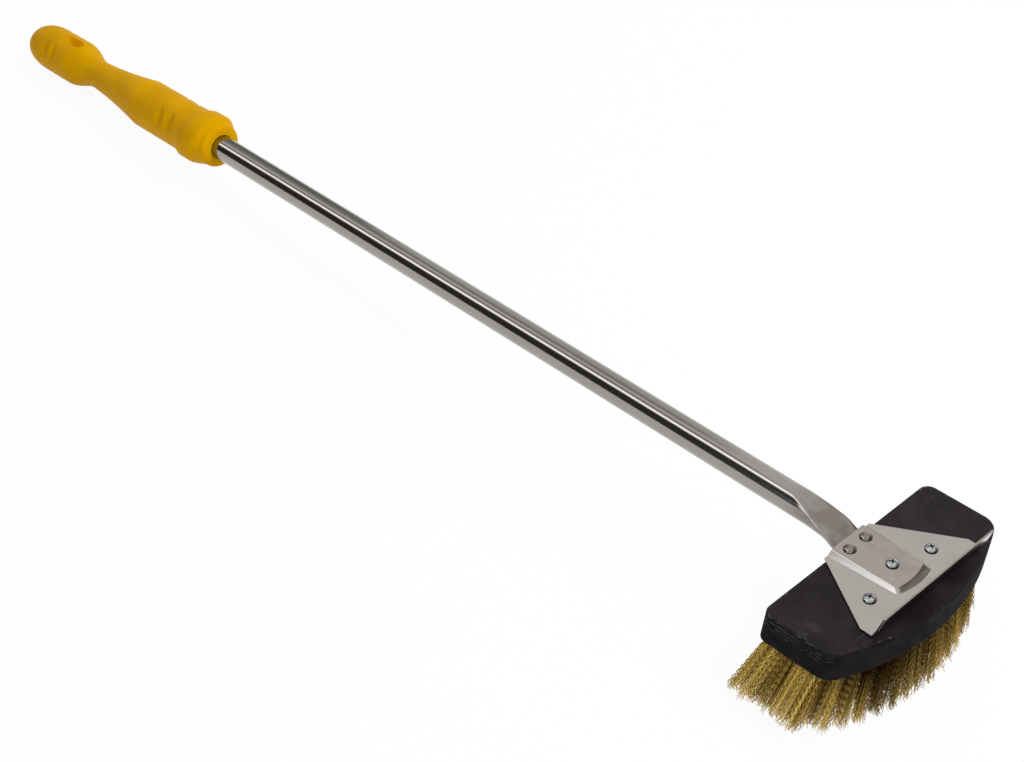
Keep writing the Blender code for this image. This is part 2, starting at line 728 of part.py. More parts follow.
def fit_fasteners(block, plate, tube):
    above = EMBOSS_TOP + SHEET
    side_x, side_y = SCREW_SIDE_PLACE
    side_bottom = PLATE_TOP + TOUCH_GAP - SCREW_LENGTH - HOLE_CLEARANCE
    centre_bottom = EMBOSS_TOP + TOUCH_GAP - CENTRE_SCREW_LENGTH - HOLE_CLEARANCE
    for side, label in ((-1, "left"), (1, "right")):
        place = (side * side_x, side_y)
        make_screw("screw_" + label, place, PLATE_TOP, SCREW_LENGTH)
        drill("screw_hole_" + label, place, SCREW_SHANK_DIAMETER, side_bottom, above, (block, plate))
        place = (side * RIVET_PLACE[0], RIVET_PLACE[1])
        make_rivet("rivet_" + label, place)
        drill("rivet_hole_" + label, place, RIVET_SHANK_DIAMETER, -SHEET, above, (plate, tube))
        recess_floor = -RIVET_TAIL_HEIGHT - TOUCH_GAP
        drill("tail_recess_" + label, place, RIVET_TAIL_DIAMETER, recess_floor, SHEET, (block,))
    make_screw("screw_centre", SCREW_CENTRE_PLACE, EMBOSS_TOP, CENTRE_SCREW_LENGTH)
    drill("screw_hole_centre", SCREW_CENTRE_PLACE, SCREW_SHANK_DIAMETER, centre_bottom, above,
          (block, plate, tube))


# Standing the brush on the ground

def part_bounds():
    graph = bpy.context.evaluated_depsgraph_get()
    low = Vector((math.inf,) * 3)
    high = Vector((-math.inf,) * 3)
    for part in parts.objects:
        if part.type != "MESH":
            continue
        shown = part.evaluated_get(graph)
        for vertex in shown.data.vertices:
            point = shown.matrix_world @ vertex.co
            low = Vector(map(min, low, point))
            high = Vector(map(max, high, point))
    return low, high


def stand_on_ground(lean):
    """Lean the head's frame and centre the brush over the origin, with its lowest point at z = 0."""
    head_frame.rotation_euler = (-lean, 0, 0)
    bpy.context.view_layer.update()
    low, high = part_bounds()
    head_frame.location = (-(low.x + high.x) / 2, -(low.y + high.y) / 2, -low.z)
    bpy.context.view_layer.update()


clear_scene()
parts = new_collection("pizza_oven_brush")
cutters = new_collection("cutters")
head_frame = bpy.data.objects.new("head_frame", None)
parts.objects.link(head_frame)

black_plywood = finish("black_plywood", (0.022, 0.018, 0.024), 0.55, 0.0)
brass_wire = finish("brass_wire", (0.45, 0.30, 0.09), 0.42, 1.0)
polished_steel = finish("polished_steel", (0.68, 0.66, 0.63), 0.22, 1.0)
brushed_steel = finish("brushed_steel", (0.60, 0.60, 0.62), 0.30, 1.0)
rivet_steel = finish("rivet_steel", (0.62, 0.60, 0.58), 0.25, 1.0)
zinc_steel = finish("zinc_steel", (0.62, 0.64, 0.66), 0.20, 1.0)
yellow_plastic = finish("yellow_plastic", (0.68, 0.36, 0.0), 0.45, 0.0)

head_block = make_block()
wire_strands = bristle_strands()
rest_lean, ground_level = resting_lean(wire_strands, grip_underside())
make_bristles(wire_strands, rest_lean, ground_level)
scraper_plate = make_scraper()
handle_tube = make_tube()
make_grip()
fit_fasteners(head_block, scraper_plate, handle_tube)
stand_on_ground(rest_lean)
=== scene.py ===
"""Looks of the pizza oven brush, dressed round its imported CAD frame.

Lengths are in metres. Pieces are shaped in the head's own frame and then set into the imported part,
which leans it: the origin is on the block's top at the middle of the plate's back edge, +X runs
along the block, +Y towards the grip and +Z out of the block's top.
"""

import json
import math
import random

import bmesh
import bpy
import numpy as np
from mathutils import Matrix, Vector, noise


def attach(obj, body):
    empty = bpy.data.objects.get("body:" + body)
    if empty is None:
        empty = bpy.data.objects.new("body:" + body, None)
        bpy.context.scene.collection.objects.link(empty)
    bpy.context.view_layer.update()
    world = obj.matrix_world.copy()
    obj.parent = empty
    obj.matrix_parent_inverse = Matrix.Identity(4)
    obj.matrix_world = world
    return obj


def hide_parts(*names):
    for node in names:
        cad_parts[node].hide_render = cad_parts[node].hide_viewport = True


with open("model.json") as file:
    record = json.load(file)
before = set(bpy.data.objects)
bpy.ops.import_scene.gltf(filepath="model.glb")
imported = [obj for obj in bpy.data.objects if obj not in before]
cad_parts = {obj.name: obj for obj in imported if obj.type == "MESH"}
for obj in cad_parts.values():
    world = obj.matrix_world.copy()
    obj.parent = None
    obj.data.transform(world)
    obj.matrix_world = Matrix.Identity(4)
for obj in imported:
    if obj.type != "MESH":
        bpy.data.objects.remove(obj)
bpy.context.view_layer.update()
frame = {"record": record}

# Wooden block, as in the CAD part
BLOCK_LENGTH = 0.2035
BLOCK_DEPTH = 0.092
BLOCK_THICKNESS = 0.023
BLOCK_OFFSET = -0.0018
BLOCK_RAKE = math.radians(12.3)
FRONT_BOW_RADIUS = 0.212
BACK_CORNER_RADIUS = 0.009
FRONT_CORNER_RADIUS = 0.017
BACK_CORNER_STEPS = 10
FRONT_CORNER_STEPS = 14
FRONT_BOW_STEPS = 48
EDGE_ROUND = 0.0009
RIM_WEAR_WIDTH = 0.0024
PLY_FIRST_SEAM = 0.0022
PLY_STEP = 0.0030
PLY_GROOVE_WIDTH = 0.0013
PLY_GROOVE_DEPTH = 0.00022

# Brass wires
TUFT_COLUMNS = 16
TUFT_ROWS = 7
TUFT_EDGE_MARGIN = 0.0090
WIRES_IN_TUFT = 76
WIRE_RADIUS = 0.00023
WIRE_LENGTH = 0.0562
LEFT_END_SHORTENING = 0.0045
RIGHT_END_SHORTENING = 0.0090
WIRE_LENGTH_SPREAD = 0.0036
WIRE_ROOT_DEPTH = 0.002
WIRE_TIP_STRAY = 0.0011
TUFT_SHORTENING = 0.0022
TUFT_TONE_SHARE = 0.35
TUFT_ROOT_RADIUS = 0.0034
TUFT_TIP_RADIUS = 0.0064
CRIMP_STEP = 0.003
CRIMP_HEIGHT = 0.00075
CRIMP_TURN = math.radians(-44)
TUFT_CRIMP_TURN_SPREAD = 0.6
WIRE_CRIMP_TURN_SPREAD = 0.3
LEAN_LEFT_END = math.radians(-36)
LEAN_MIDDLE = math.radians(-8)
LEAN_RIGHT_END = math.radians(-4)
LEAN_FRONT = math.radians(-9)
LEAN_BACK = math.radians(18)
GROUND_GAP = 0.0001

# Scraper plate
TOUCH_GAP = 0.0003
SHEET = 0.0015
PLATE_BACK_REACH = 0.0018
PLATE_BACK_WIDTH = 0.0552
PLATE_FRONT_WIDTH = 0.1344
PLATE_FLARE_LENGTH = 0.063
PLATE_LENGTH = 0.0741
FLANGE_LENGTH = 0.0242
FLANGE_BEND = math.radians(71.7)
FLANGE_BEND_RADIUS = 0.0022
EMBOSS_RISE = 0.0042
EMBOSS_BACK_WIDTH = 0.0464
EMBOSS_FRONT_WIDTH = 0.0400
EMBOSS_LENGTH = 0.062
EMBOSS_BOW = 0.003
EMBOSS_BOW_STEPS = 16
EMBOSS_TOP_BACK_WIDTH = 0.0370
EMBOSS_TOP_FRONT_WIDTH = 0.0348
EMBOSS_TOP_LENGTH = 0.0566
EMBOSS_EDGE_ROUND = 0.0012
SHEET_EDGE_ROUND = 0.0003

# Handle tube
TUBE_DIAMETER = 0.025
TUBE_WALL = 0.0015
TUBE_AXIS_HEIGHT = 0.01045
TUBE_RISE = math.radians(0.38)
TUBE_FLAT_WIDTH = 0.0305
TUBE_FLAT_REACH = 0.050
TUBE_END = 0.935
NECK_LENGTH = 0.018
NECK_NARROWING = 0.040
NECK_RAMP_START = 0.0025
NECK_RAMP = math.radians(22.5)
NECK_RAMP_ROUND = 0.001
NECK_MARK_HEIGHT = 0.00022
NECK_END = 0.024
PRESSED_END = 0.060
NECK_CREASE_ROUND = 0.0036
NARROWEST_FACET = math.radians(45)
FACET_POINTS = 31
TUBE_SIDES = 120

# Grip
GRIP_START = 0.805
GRIP_SOCKET = 0.130
GRIP_TILT = math.radians(0.85)
GRIP_SIDES = 128
MOUTH_CHAMFER = 0.0003
MOUTH_ROUND_WIDTH = 0.0088
MOUTH_ROUND_LENGTH = 0.0046
NOSE_LENGTH = 0.005
NOSE_DIAMETER = 0.046
COLLAR_LENGTH = 0.050
COLLAR_RISE = 0.018
COLLAR_FALL = 0.013
COLLAR_DIAMETER = 0.058
COLLAR_SLANT = math.radians(22)
COLLAR_FADE = 0.025
BODY_LENGTH = 0.079
BODY_DIAMETER = 0.0517
TAPER_LENGTH = 0.093
TAPER_POWER = 1.5
WAIST_DIAMETER = 0.0306
BULB_LENGTH = 0.1180
BULB_DIAMETER = 0.0496
BULB_SHOULDER_LENGTH = 0.040
ROUND_END_LENGTH = 0.042
ROUND_END_SQUARENESS = 2.9
ROUND_END_SLANT = 0.12
NOTCH_CUTTER_RADIUS = 0.0062
NOTCH_DEPTH = 0.0029
NOTCH_EDGE_ROUND = 0.0009
NOTCH_SPACING = 0.015
NOTCH_TURN = math.radians(59)
BODY_NOTCH_PLACE = 0.071
BULB_NOTCH_PLACE = 0.290
HANG_SLOT_PLACE = 0.267
HANG_SLOT_LENGTH = 0.030
HANG_SLOT_WIDTH = 0.012
HANG_SLOT_STEPS = 16

# Fasteners
SCREW_HEAD_DIAMETER = 0.0106
SCREW_HEAD_HEIGHT = 0.0028
SCREW_HEAD_RIM = 0.0008
SCREW_RIM_ROUND = 0.0003
SCREW_SHANK_DIAMETER = 0.004
SCREW_POINT_LENGTH = 0.004
SCREW_LENGTH = 0.0145
CENTRE_SCREW_LENGTH = 0.018
SCREW_SIDE_PLACE = (0.0382, -0.0495)
SCREW_CENTRE_PLACE = (0.0, -0.0409)
CROSS_SLOT_LENGTH = 0.0064
CROSS_SLOT_WIDTH = 0.0017
CROSS_SLOT_DEPTH = 0.0020
CROSS_SLOT_TAPER = 0.72
RIVET_HEAD_DIAMETER = 0.0106
RIVET_HEAD_HEIGHT = 0.0027
RIVET_RIM_ROUND = 0.0001
RIVET_SHANK_DIAMETER = 0.005
RIVET_TAIL_DIAMETER = 0.0075
RIVET_TAIL_HEIGHT = 0.0018
RIVET_PLACE = (0.0099, -0.0083)
HOLE_CLEARANCE = 0.0004
FASTENER_SIDES = 48
HOLE_SIDES = 24

# Camera, in the head's frame
CAMERA_PLACE = (-0.88385, -0.58000, 0.97798)
CAMERA_RIGHT = (0.7233, -0.6902, -0.0213)
CAMERA_UP = (0.4399, 0.4368, 0.7847)
CAMERA_LENS = 64.27
CAMERA_SENSOR = 36.0

# Studio
WHITE = (1, 1, 1)
COOL_WHITE = (0.84, 0.91, 1.0)
ROOM_LIGHT = 0.45
FLOOR_GLOW_SHARE = 0.94
FLOOR_SIZE = 12
FLOOR_DROP = 0.0005
STRIP_DISTANCE = 2.2
CARD_DISTANCE = 2.0

# The mount's depth below the head's origin, and the gap that welds two points
BACK_FACE_DEPTH = 0.00985
MERGE_DISTANCE = 0.000005

# Heights and lengths that follow from the sizes above
PLATE_TOP = TOUCH_GAP + SHEET
POCKET_CEILING = TOUCH_GAP + EMBOSS_RISE
EMBOSS_TOP = POCKET_CEILING + SHEET
TUBE_FLAT_THICKNESS = EMBOSS_RISE - TOUCH_GAP
TUBE_FLAT_CENTRE = TOUCH_GAP + TUBE_FLAT_THICKNESS / 2
GRIP_LENGTH = COLLAR_LENGTH + BODY_LENGTH + TAPER_LENGTH + BULB_LENGTH


def find_head():
    """Matrix of the head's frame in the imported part, read from the mount on the block's back face."""
    mount = next(m for m in frame["record"]["mounts"] if m["name"] == "block_back_face")
    along_block = Vector((1, 0, 0))
    towards_grip = Vector(mount["axis"]).normalized()
    out_of_top = along_block.cross(towards_grip)
    head = Matrix((along_block, towards_grip, out_of_top)).transposed().to_4x4()
    head.translation = Vector(mount["pos_m"]) + out_of_top * BACK_FACE_DEPTH
    return head


HEAD = find_head()


# Piece and mesh helpers

def to_mesh(name, bm):
    mesh = bpy.data.meshes.new(name)
    bm.to_mesh(mesh)
    bm.free()
    return mesh


def new_object(name, data):
    made = bpy.data.objects.new(name, data)
    bpy.context.scene.collection.objects.link(made)
    return made


def place_piece(name, mesh, materials, stands_for):
    """Makes a mesh that is already in the part's frame into a piece that rides on the part."""
    for material in materials:
        mesh.materials.append(material)
    piece = new_object(name, mesh)
    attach(piece, "root")
    if stands_for:
        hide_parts(*stands_for)


def points_of(mesh):
    points = np.zeros(len(mesh.vertices) * 3)
    mesh.vertices.foreach_get("co", points)
    return points.reshape(-1, 3)


def note_values(mesh, name, values):
    """Keeps one number for each point of a mesh, for its material to read."""
    attribute = mesh.attributes.new(name, "FLOAT", "POINT")
    attribute.data.foreach_set("value", np.asarray(values, np.float32))


def verts_of(geometry):
    return [item for item in geometry if isinstance(item, bmesh.types.BMVert)]


def edges_of(geometry):
    return [item for item in geometry if isinstance(item, bmesh.types.BMEdge)]


def leading_edges(grown):
    """The edges of an extrusion that lie along its new end."""
    fresh = set(verts_of(grown))
    return [edge for edge in edges_of(grown) if all(vertex in fresh for vertex in edge.verts)]


def shade_round(mesh, angle):
    mesh.shade_smooth()
    mesh.set_sharp_from_angle(angle=angle)


def worked(mesh, *steps):
    """Runs modifiers, each a type with its settings, on a mesh and returns the result."""
    blank = new_object(mesh.name, mesh)
    tools = []
    for kind, settings in steps:
        modifier = blank.modifiers.new(kind.lower(), kind)
        for name, value in settings.items():
            if isinstance(value, bpy.types.Mesh):
                value = new_object(value.name, value)
                tools.append(value)
            setattr(modifier, name, value)
    graph = bpy.context.evaluated_depsgraph_get()
    made = bpy.data.meshes.new_from_object(blank.evaluated_get(graph), depsgraph=graph)
    for used in [blank, *tools]:
        bpy.data.objects.remove(used, do_unlink=True)
    return made


def cut_by(tool):
    """A cut whose walls take the tool's own material, if it has one."""
    mode = "TRANSFER" if tool.materials else "INDEX"
    return "BOOLEAN", {"operation": "DIFFERENCE", "solver": "EXACT", "material_mode": mode,
                       "object": tool}


def mark_rim(mesh, radius):
    """Notes how near each point is to the rim of a head that is centred on Z, for the painted dark ring
    at its rim.
    """
    away = np.linalg.norm(points_of(mesh)[:, :2], axis=1) / radius
    note_values(mesh, "rim", np.clip(away, 0, 1))


def arc(centre, radius, start, end, steps):
    points = []
    for step in range(steps + 1):
        angle = start + (end - start) * step / steps
        points.append((centre[0] + radius * math.cos(angle), centre[1] + radius * math.sin(angle)))
    return points


def blend(start, end, share):
    """Value that leaves start and reaches end with no slope."""
    share = min(max(share, 0.0), 1.0)
    return start + (end - start) * share * share * (3 - 2 * share)


def lower_of(first, second, width):
    """The lower of two values, with the corner between them rounded over the width."""
    near = max(width - abs(first - second), 0) / width
    return min(first, second) - near * near * width / 4


def loft(rings, closed=False):
    """Grows closed rings of points one after another from the first, as a skin."""
    bm = bmesh.new()
    bmesh.ops.create_circle(bm, segments=len(rings[0]), radius=1)
    bm.verts.ensure_lookup_table()
    ring = list(bm.verts)
    for vertex, point in zip(ring, rings[0]):
        vertex.co = point
    first_edges = list(bm.edges)
    edges = first_edges
    for points in rings[1:]:
        grown = bmesh.ops.extrude_edge_only(bm, edges=edges)["geom"]
        fresh = set(verts_of(grown))
        following = []
        for vertex in ring:
            ends = (edge.other_vert(vertex) for edge in vertex.link_edges)
            following.append(next(end for end in ends if end in fresh))
        for vertex, point in zip(following, points):
            vertex.co = point
        edges = leading_edges(grown)
        ring = following
    if closed:
        bmesh.ops.bridge_loops(bm, edges=first_edges + edges)
    else:
        bmesh.ops.edgeloop_fill(bm, edges=first_edges)
        bmesh.ops.edgeloop_fill(bm, edges=edges)
    bmesh.ops.recalc_face_normals(bm, faces=bm.faces)
    return bm


def turned(profile, sides):
    """Turns a profile of (radius, height) points from the top down about the Z axis."""
    bm = bmesh.new()
    verts = [bm.verts.new((radius, 0, height)) for radius, height in profile]
    edges = [bm.edges.new(pair) for pair in zip(verts, verts[1:])]
    bmesh.ops.spin(bm, geom=verts + edges, cent=(0, 0, 0), axis=(0, 0, 1), angle=math.tau,
                   steps=sides, use_merge=True)
    bmesh.ops.remove_doubles(bm, verts=bm.verts, dist=MERGE_DISTANCE)
    bmesh.ops.recalc_face_normals(bm, faces=bm.faces)
    return bm


def prism(outline, bottom, top, taper=1.0):
    """Raises an outline, which is narrowed at the bottom and widened at the top by the taper."""
    bm = bmesh.new()
    floor = bm.faces.new([bm.verts.new((x * taper, y * taper, bottom)) for x, y in outline])
    raised = bmesh.ops.extrude_face_region(bm, geom=[floor])["geom"]
    for vertex in verts_of(raised):
        vertex.co = (vertex.co.x / taper, vertex.co.y / taper, top)
    bmesh.ops.recalc_face_normals(bm, faces=bm.faces)
    return bm


# Wooden block

def front_corner_centre():
    corner_x = BLOCK_LENGTH / 2 - FRONT_CORNER_RADIUS
    reach = FRONT_BOW_RADIUS - FRONT_CORNER_RADIUS
    return corner_x, FRONT_BOW_RADIUS - BLOCK_DEPTH - math.sqrt(reach ** 2 - corner_x ** 2)


def front_edge(x, inset):
    """Y of the block's front edge at x, moved into the block by the inset."""
    corner_x, corner_y = front_corner_centre()
    bow_radius = FRONT_BOW_RADIUS - inset
    bow_end = corner_x * bow_radius / (FRONT_BOW_RADIUS - FRONT_CORNER_RADIUS)
    if abs(x) < bow_end:
        return FRONT_BOW_RADIUS - BLOCK_DEPTH - math.sqrt(bow_radius ** 2 - x ** 2)
    across = min(abs(x) - corner_x, FRONT_CORNER_RADIUS - inset)
    return corner_y - math.sqrt((FRONT_CORNER_RADIUS - inset) ** 2 - across ** 2)


def block_outline(inset):
    bow_centre = (0, FRONT_BOW_RADIUS - BLOCK_DEPTH)
    corner = front_corner_centre()
    bow_angle = math.atan2(corner[1] - bow_centre[1], corner[0])
    back_centre = (BLOCK_LENGTH / 2 - BACK_CORNER_RADIUS, -BACK_CORNER_RADIUS)
    right = arc(back_centre, BACK_CORNER_RADIUS - inset, math.pi / 2, 0, BACK_CORNER_STEPS)
    right += arc(corner, FRONT_CORNER_RADIUS - inset, 0, bow_angle, FRONT_CORNER_STEPS)
    front = arc(bow_centre, FRONT_BOW_RADIUS - inset, bow_angle, -math.pi - bow_angle,
                FRONT_BOW_STEPS)
    left = [(-x, y) for x, y in reversed(right)]
    return right + front[1:-1] + left


def wall_profile():
    """Inset and height of the block's wall from its top down, with each second ply worn back."""
    steps = 4
    profile = []
    for step in range(steps + 1):
        angle = math.pi / 2 * step / steps
        profile.append((EDGE_ROUND * (1 - math.sin(angle)), -EDGE_ROUND * (1 - math.cos(angle))))
    seam = PLY_FIRST_SEAM
    while seam < BLOCK_THICKNESS - PLY_GROOVE_WIDTH:
        half = PLY_GROOVE_WIDTH / 2
        for inset, shift in ((0, half), (1, half * 0.6), (1, -half * 0.6), (0, -half)):
            profile.append((PLY_GROOVE_DEPTH * inset, -seam + shift))
        seam += PLY_STEP
    lower = [(inset, -BLOCK_THICKNESS - height) for inset, height in reversed(profile[:steps + 1])]
    return profile + lower


def make_block():
    """The whole block, lofted down its raked wall one ring of the outline after another."""
    rings = []
    for inset, height in [(RIM_WEAR_WIDTH, 0.0)] + wall_profile():
        shift = BLOCK_OFFSET + height * math.tan(BLOCK_RAKE)
        rings.append([(x + shift, y, height) for x, y in block_outline(inset)])
    bm = loft(rings)
    for face in bm.faces:
        face.smooth = len(face.verts) == 4
        face.material_index = int(abs(face.normal.z) < 0.9)
    wear = bm.verts.layers.float.new("rim")
    bm.verts.index_update()
    for vertex in bm.verts:
        on_edge = vertex.index >= len(rings[0]) and vertex.co.z > -EDGE_ROUND * 1.1
        vertex[wear] = float(on_edge)
    bmesh.ops.transform(bm, matrix=HEAD, verts=bm.verts)
    mesh = to_mesh("block", bm)
    mesh.set_sharp_from_angle(angle=math.radians(38))
    place_piece("block", mesh, [plywood_face(), plywood_edge()], ["head_block"])


# Brass wires

def tuft_lean(x, y):
    """Angles by which a tuft leans along the block and across it."""
    side = x / (BLOCK_LENGTH / 2)
    slope = (LEAN_RIGHT_END - LEAN_LEFT_END) / 2
    curve = (LEAN_RIGHT_END + LEAN_LEFT_END) / 2 - LEAN_MIDDLE
    sideways = LEAN_MIDDLE + slope * side + curve * side * side
    along = LEAN_BACK + (LEAN_FRONT - LEAN_BACK) * (-y / BLOCK_DEPTH)
    return sideways, along


def straight_wire(steps):
    """A three-sided wire down -Z with its rings one unit apart."""
    bm = bmesh.new()
    bmesh.ops.create_circle(bm, segments=3, radius=WIRE_RADIUS)
    edges = list(bm.edges)
    for _ in range(steps):
        grown = bmesh.ops.extrude_edge_only(bm, edges=edges)["geom"]
        bmesh.ops.translate(bm, verts=verts_of(grown), vec=(0, 0, -1))
        edges = leading_edges(grown)
    bmesh.ops.holes_fill(bm, edges=bm.edges, sides=3)
    bmesh.ops.recalc_face_normals(bm, faces=bm.faces)
    for face in bm.faces:
        face.smooth = True
    return to_mesh("straight_wire", bm)


def wire_line(dice, root, tuft, steps):
    """Points of one crimped wire from inside the wood to its tip, in the head's frame."""
    x, y = root
    sideways, along = tuft_lean(x, y)
    down = Vector((math.tan(sideways), math.tan(along), -1)).normalized()
    reach = math.sqrt(dice.random())
    turn = dice.uniform(0, math.tau)
    spot = Vector((math.cos(turn), math.sin(turn), 0)) * reach
    length = WIRE_LENGTH - tuft["short"] - WIRE_LENGTH_SPREAD * dice.random() ** 2
    shortening = LEFT_END_SHORTENING if x < 0 else RIGHT_END_SHORTENING
    length -= shortening * (x / (BLOCK_LENGTH / 2)) ** 2
    fan = TUFT_TIP_RADIUS * dice.uniform(0.7, 1.15)
    crimp_turn = tuft["turn"] + dice.gauss(0, WIRE_CRIMP_TURN_SPREAD)
    crimp_side = Vector((math.cos(crimp_turn), math.sin(crimp_turn), 0))
    shift = tuft["shift"] + dice.gauss(0, 0.08 + 0.4 * tuft["disorder"])
    height = CRIMP_HEIGHT * dice.uniform(0.7, 1.3)
    stray = Vector((dice.gauss(0, 1), dice.gauss(0, 1), 0)) * WIRE_TIP_STRAY
    shear = BLOCK_THICKNESS * math.tan(BLOCK_RAKE)
    start = Vector((x + BLOCK_OFFSET - shear, y, -BLOCK_THICKNESS))
    points = []
    for step in range(steps + 1):
        run = -WIRE_ROOT_DEPTH + (length + WIRE_ROOT_DEPTH) * step / steps
        share = max(run / length, 0)
        spread = TUFT_ROOT_RADIUS + (fan - TUFT_ROOT_RADIUS) * share
        wave = (1 if step % 2 else -1) * height * (step > 0)
        slide = shift * CRIMP_STEP * min(share * 4, 1) * (step < steps)
        points.append(start + down * (run + slide) + spot * spread + stray * share ** 2
                      + crimp_side * wave)
    return points, down


def make_wires():
    """Rows of tufts, in which each wire is the straight one bent along a line of its own."""
    steps = round((WIRE_LENGTH + WIRE_ROOT_DEPTH) / CRIMP_STEP)
    straight = straight_wire(steps)
    shape = points_of(straight)
    ring = np.rint(-shape[:, 2]).astype(int)
    brass = brass_finish()
    dice = random.Random(11)
    turn = np.array(HEAD.to_3x3())
    place = np.array(HEAD.translation)
    reach = BLOCK_LENGTH / 2 - TUFT_EDGE_MARGIN
    for row in range(TUFT_ROWS):
        bm = bmesh.new()
        lines = []
        tones = []
        valley_shades = []
        for column in range(TUFT_COLUMNS):
            x = -reach + 2 * reach * column / (TUFT_COLUMNS - 1)
            back = -TUFT_EDGE_MARGIN
            y = back + (front_edge(x, TUFT_EDGE_MARGIN) - back) * row / (TUFT_ROWS - 1)
            tuft = {"turn": CRIMP_TURN + dice.gauss(0, TUFT_CRIMP_TURN_SPREAD),
                    "shift": dice.uniform(-0.5, 0.5),
                    "short": dice.uniform(0, TUFT_SHORTENING), "disorder": dice.random()}
            tuft_tone = dice.uniform(0, 1)
            for _ in range(WIRES_IN_TUFT):
                points, down = wire_line(dice, (x, y), tuft, steps)
                bm.from_mesh(straight)
                side = down.cross(Vector((0, 1, 0))).normalized()
                front = down.cross(side)
                centre = np.array(points)[ring]
                section = shape[:, :1] * np.array(side) + shape[:, 1:2] * np.array(front)
                lines.append(centre + section)
                own_tone = dice.random()
                tones.append(own_tone + (tuft_tone - own_tone) * TUFT_TONE_SHARE)
                # Painted shade in the crimp valleys of every second ring, weaker in a disordered tuft
                valley_shades.append((ring % 2) * (1 - 0.7 * tuft["disorder"]))
        mesh = to_mesh(f"wires_row_{row + 1}", bm)
        where = np.concatenate(lines) @ turn.T + place
        where[:, 2] = np.maximum(where[:, 2], GROUND_GAP)
        mesh.vertices.foreach_set("co", where.ravel())
        note_values(mesh, "tone", np.repeat(tones, len(shape)))
        note_values(mesh, "valley_shade", np.concatenate(valley_shades))
        note_values(mesh, "depth", np.tile(ring / steps, len(lines)))
        mesh.update()
        stands_for = ["bristle_pad"] if row == 0 else []
        place_piece(mesh.name, mesh, [brass], stands_for)


# Scraper plate

def emboss_outline(back_width, front_width, length):
    half = front_width / 2
    bow_radius = (half ** 2 + EMBOSS_BOW ** 2) / (2 * EMBOSS_BOW)
    spread = math.asin(half / bow_radius)
    centre = (0, -length - EMBOSS_BOW + bow_radius)
    bow = arc(centre, bow_radius, -math.pi / 2 - spread, -math.pi / 2 + spread, EMBOSS_BOW_STEPS)
    return [(-back_width / 2, PLATE_BACK_REACH)] + bow + [(back_width / 2, PLATE_BACK_REACH)]


def pressed_sheet():
    """The sheet's underside: flat part, embossed pocket and upturned front edge."""
    bm = bmesh.new()
    setback = FLANGE_BEND_RADIUS * math.tan(FLANGE_BEND / 2)
    front = setback - PLATE_LENGTH
    back_half = PLATE_BACK_WIDTH / 2
    front_half = PLATE_FRONT_WIDTH / 2
    foot = emboss_outline(EMBOSS_BACK_WIDTH, EMBOSS_FRONT_WIDTH, EMBOSS_LENGTH)
    crown = emboss_outline(EMBOSS_TOP_BACK_WIDTH, EMBOSS_TOP_FRONT_WIDTH, EMBOSS_TOP_LENGTH)
    right = [(back_half, PLATE_BACK_REACH), (front_half, -PLATE_FLARE_LENGTH), (front_half, front)]
    rim = right + [(-x, y) for x, y in reversed(right)]
    foot = [bm.verts.new((x, y, TOUCH_GAP)) for x, y in foot]
    crown = [bm.verts.new((x, y, POCKET_CEILING)) for x, y in crown]
    rim = [bm.verts.new((x, y, TOUCH_GAP)) for x, y in rim]
    bm.faces.new(list(reversed(foot + rim)))
    bm.faces.new(crown)
    for index in range(len(foot) - 1):
        bm.faces.new((foot[index], foot[index + 1], crown[index + 1], crown[index]))
    creases = [edge for edge in bm.edges if len(edge.link_faces) == 2]
    front_corners = (foot[1], foot[-2])
    keep = []
    for edge in creases:
        sloping = abs(edge.verts[0].co.z - edge.verts[1].co.z) > EMBOSS_RISE / 2
        if not sloping or any(corner in edge.verts for corner in front_corners):
            keep.append(edge)
    lip = bm.edges.get((rim[2], rim[3]))
    bend_centre = (0, front, TOUCH_GAP + SHEET + FLANGE_BEND_RADIUS)
    bent = bmesh.ops.spin(bm, geom=[lip, *lip.verts], cent=bend_centre, axis=(1, 0, 0),
                          angle=-FLANGE_BEND, steps=12, use_merge=False)["geom_last"]
    raised = bmesh.ops.extrude_edge_only(bm, edges=edges_of(bent))["geom"]
    rise = Vector((0, -math.cos(FLANGE_BEND), math.sin(FLANGE_BEND))) * (FLANGE_LENGTH - setback)
    bmesh.ops.translate(bm, verts=verts_of(raised), vec=rise)
    bmesh.ops.bevel(bm, geom=keep, offset=EMBOSS_EDGE_ROUND, segments=4, profile=0.5,
                    affect="EDGES", material=-1)
    mesh = to_mesh("pressed_sheet", bm)
    mesh.shade_smooth()
    return mesh


def on_side(side, place):
    """A fastener's place on the head's left, for side -1, or on its right, for side 1."""
    return side * place[0], place[1]


def sheet_holes():
    """One rod for each fastener, to bore the sheet."""
    bm = bmesh.new()
    places = [(on_side(side, SCREW_SIDE_PLACE), SCREW_SHANK_DIAMETER) for side in (-1, 1)]
    places += [(on_side(side, RIVET_PLACE), RIVET_SHANK_DIAMETER) for side in (-1, 1)]
    places += [(SCREW_CENTRE_PLACE, SCREW_SHANK_DIAMETER)]
    for (x, y), diameter in places:
        radius = diameter / 2 + HOLE_CLEARANCE
        bmesh.ops.create_cone(bm, cap_ends=True, segments=HOLE_SIDES, radius1=radius,
                              radius2=radius, depth=4 * EMBOSS_TOP,
                              matrix=Matrix.Translation((x, y, 0)))
    return to_mesh("sheet_holes", bm)


def make_plate():
    wall = {"thickness": SHEET, "offset": 1, "use_even_offset": True}
    edges = {"width": SHEET_EDGE_ROUND, "segments": 3, "limit_method": "ANGLE",
             "angle_limit": math.radians(60), "profile": 0.5}
    mesh = worked(pressed_sheet(), ("SOLIDIFY", wall), ("BEVEL", edges), cut_by(sheet_holes()),
                  ("WEIGHTED_NORMAL", {"keep_sharp": True}))
    mesh.transform(HEAD)
    place_piece("pressed_plate", mesh, [sheet_finish()], ["scraper_plate"])


# Handle tube

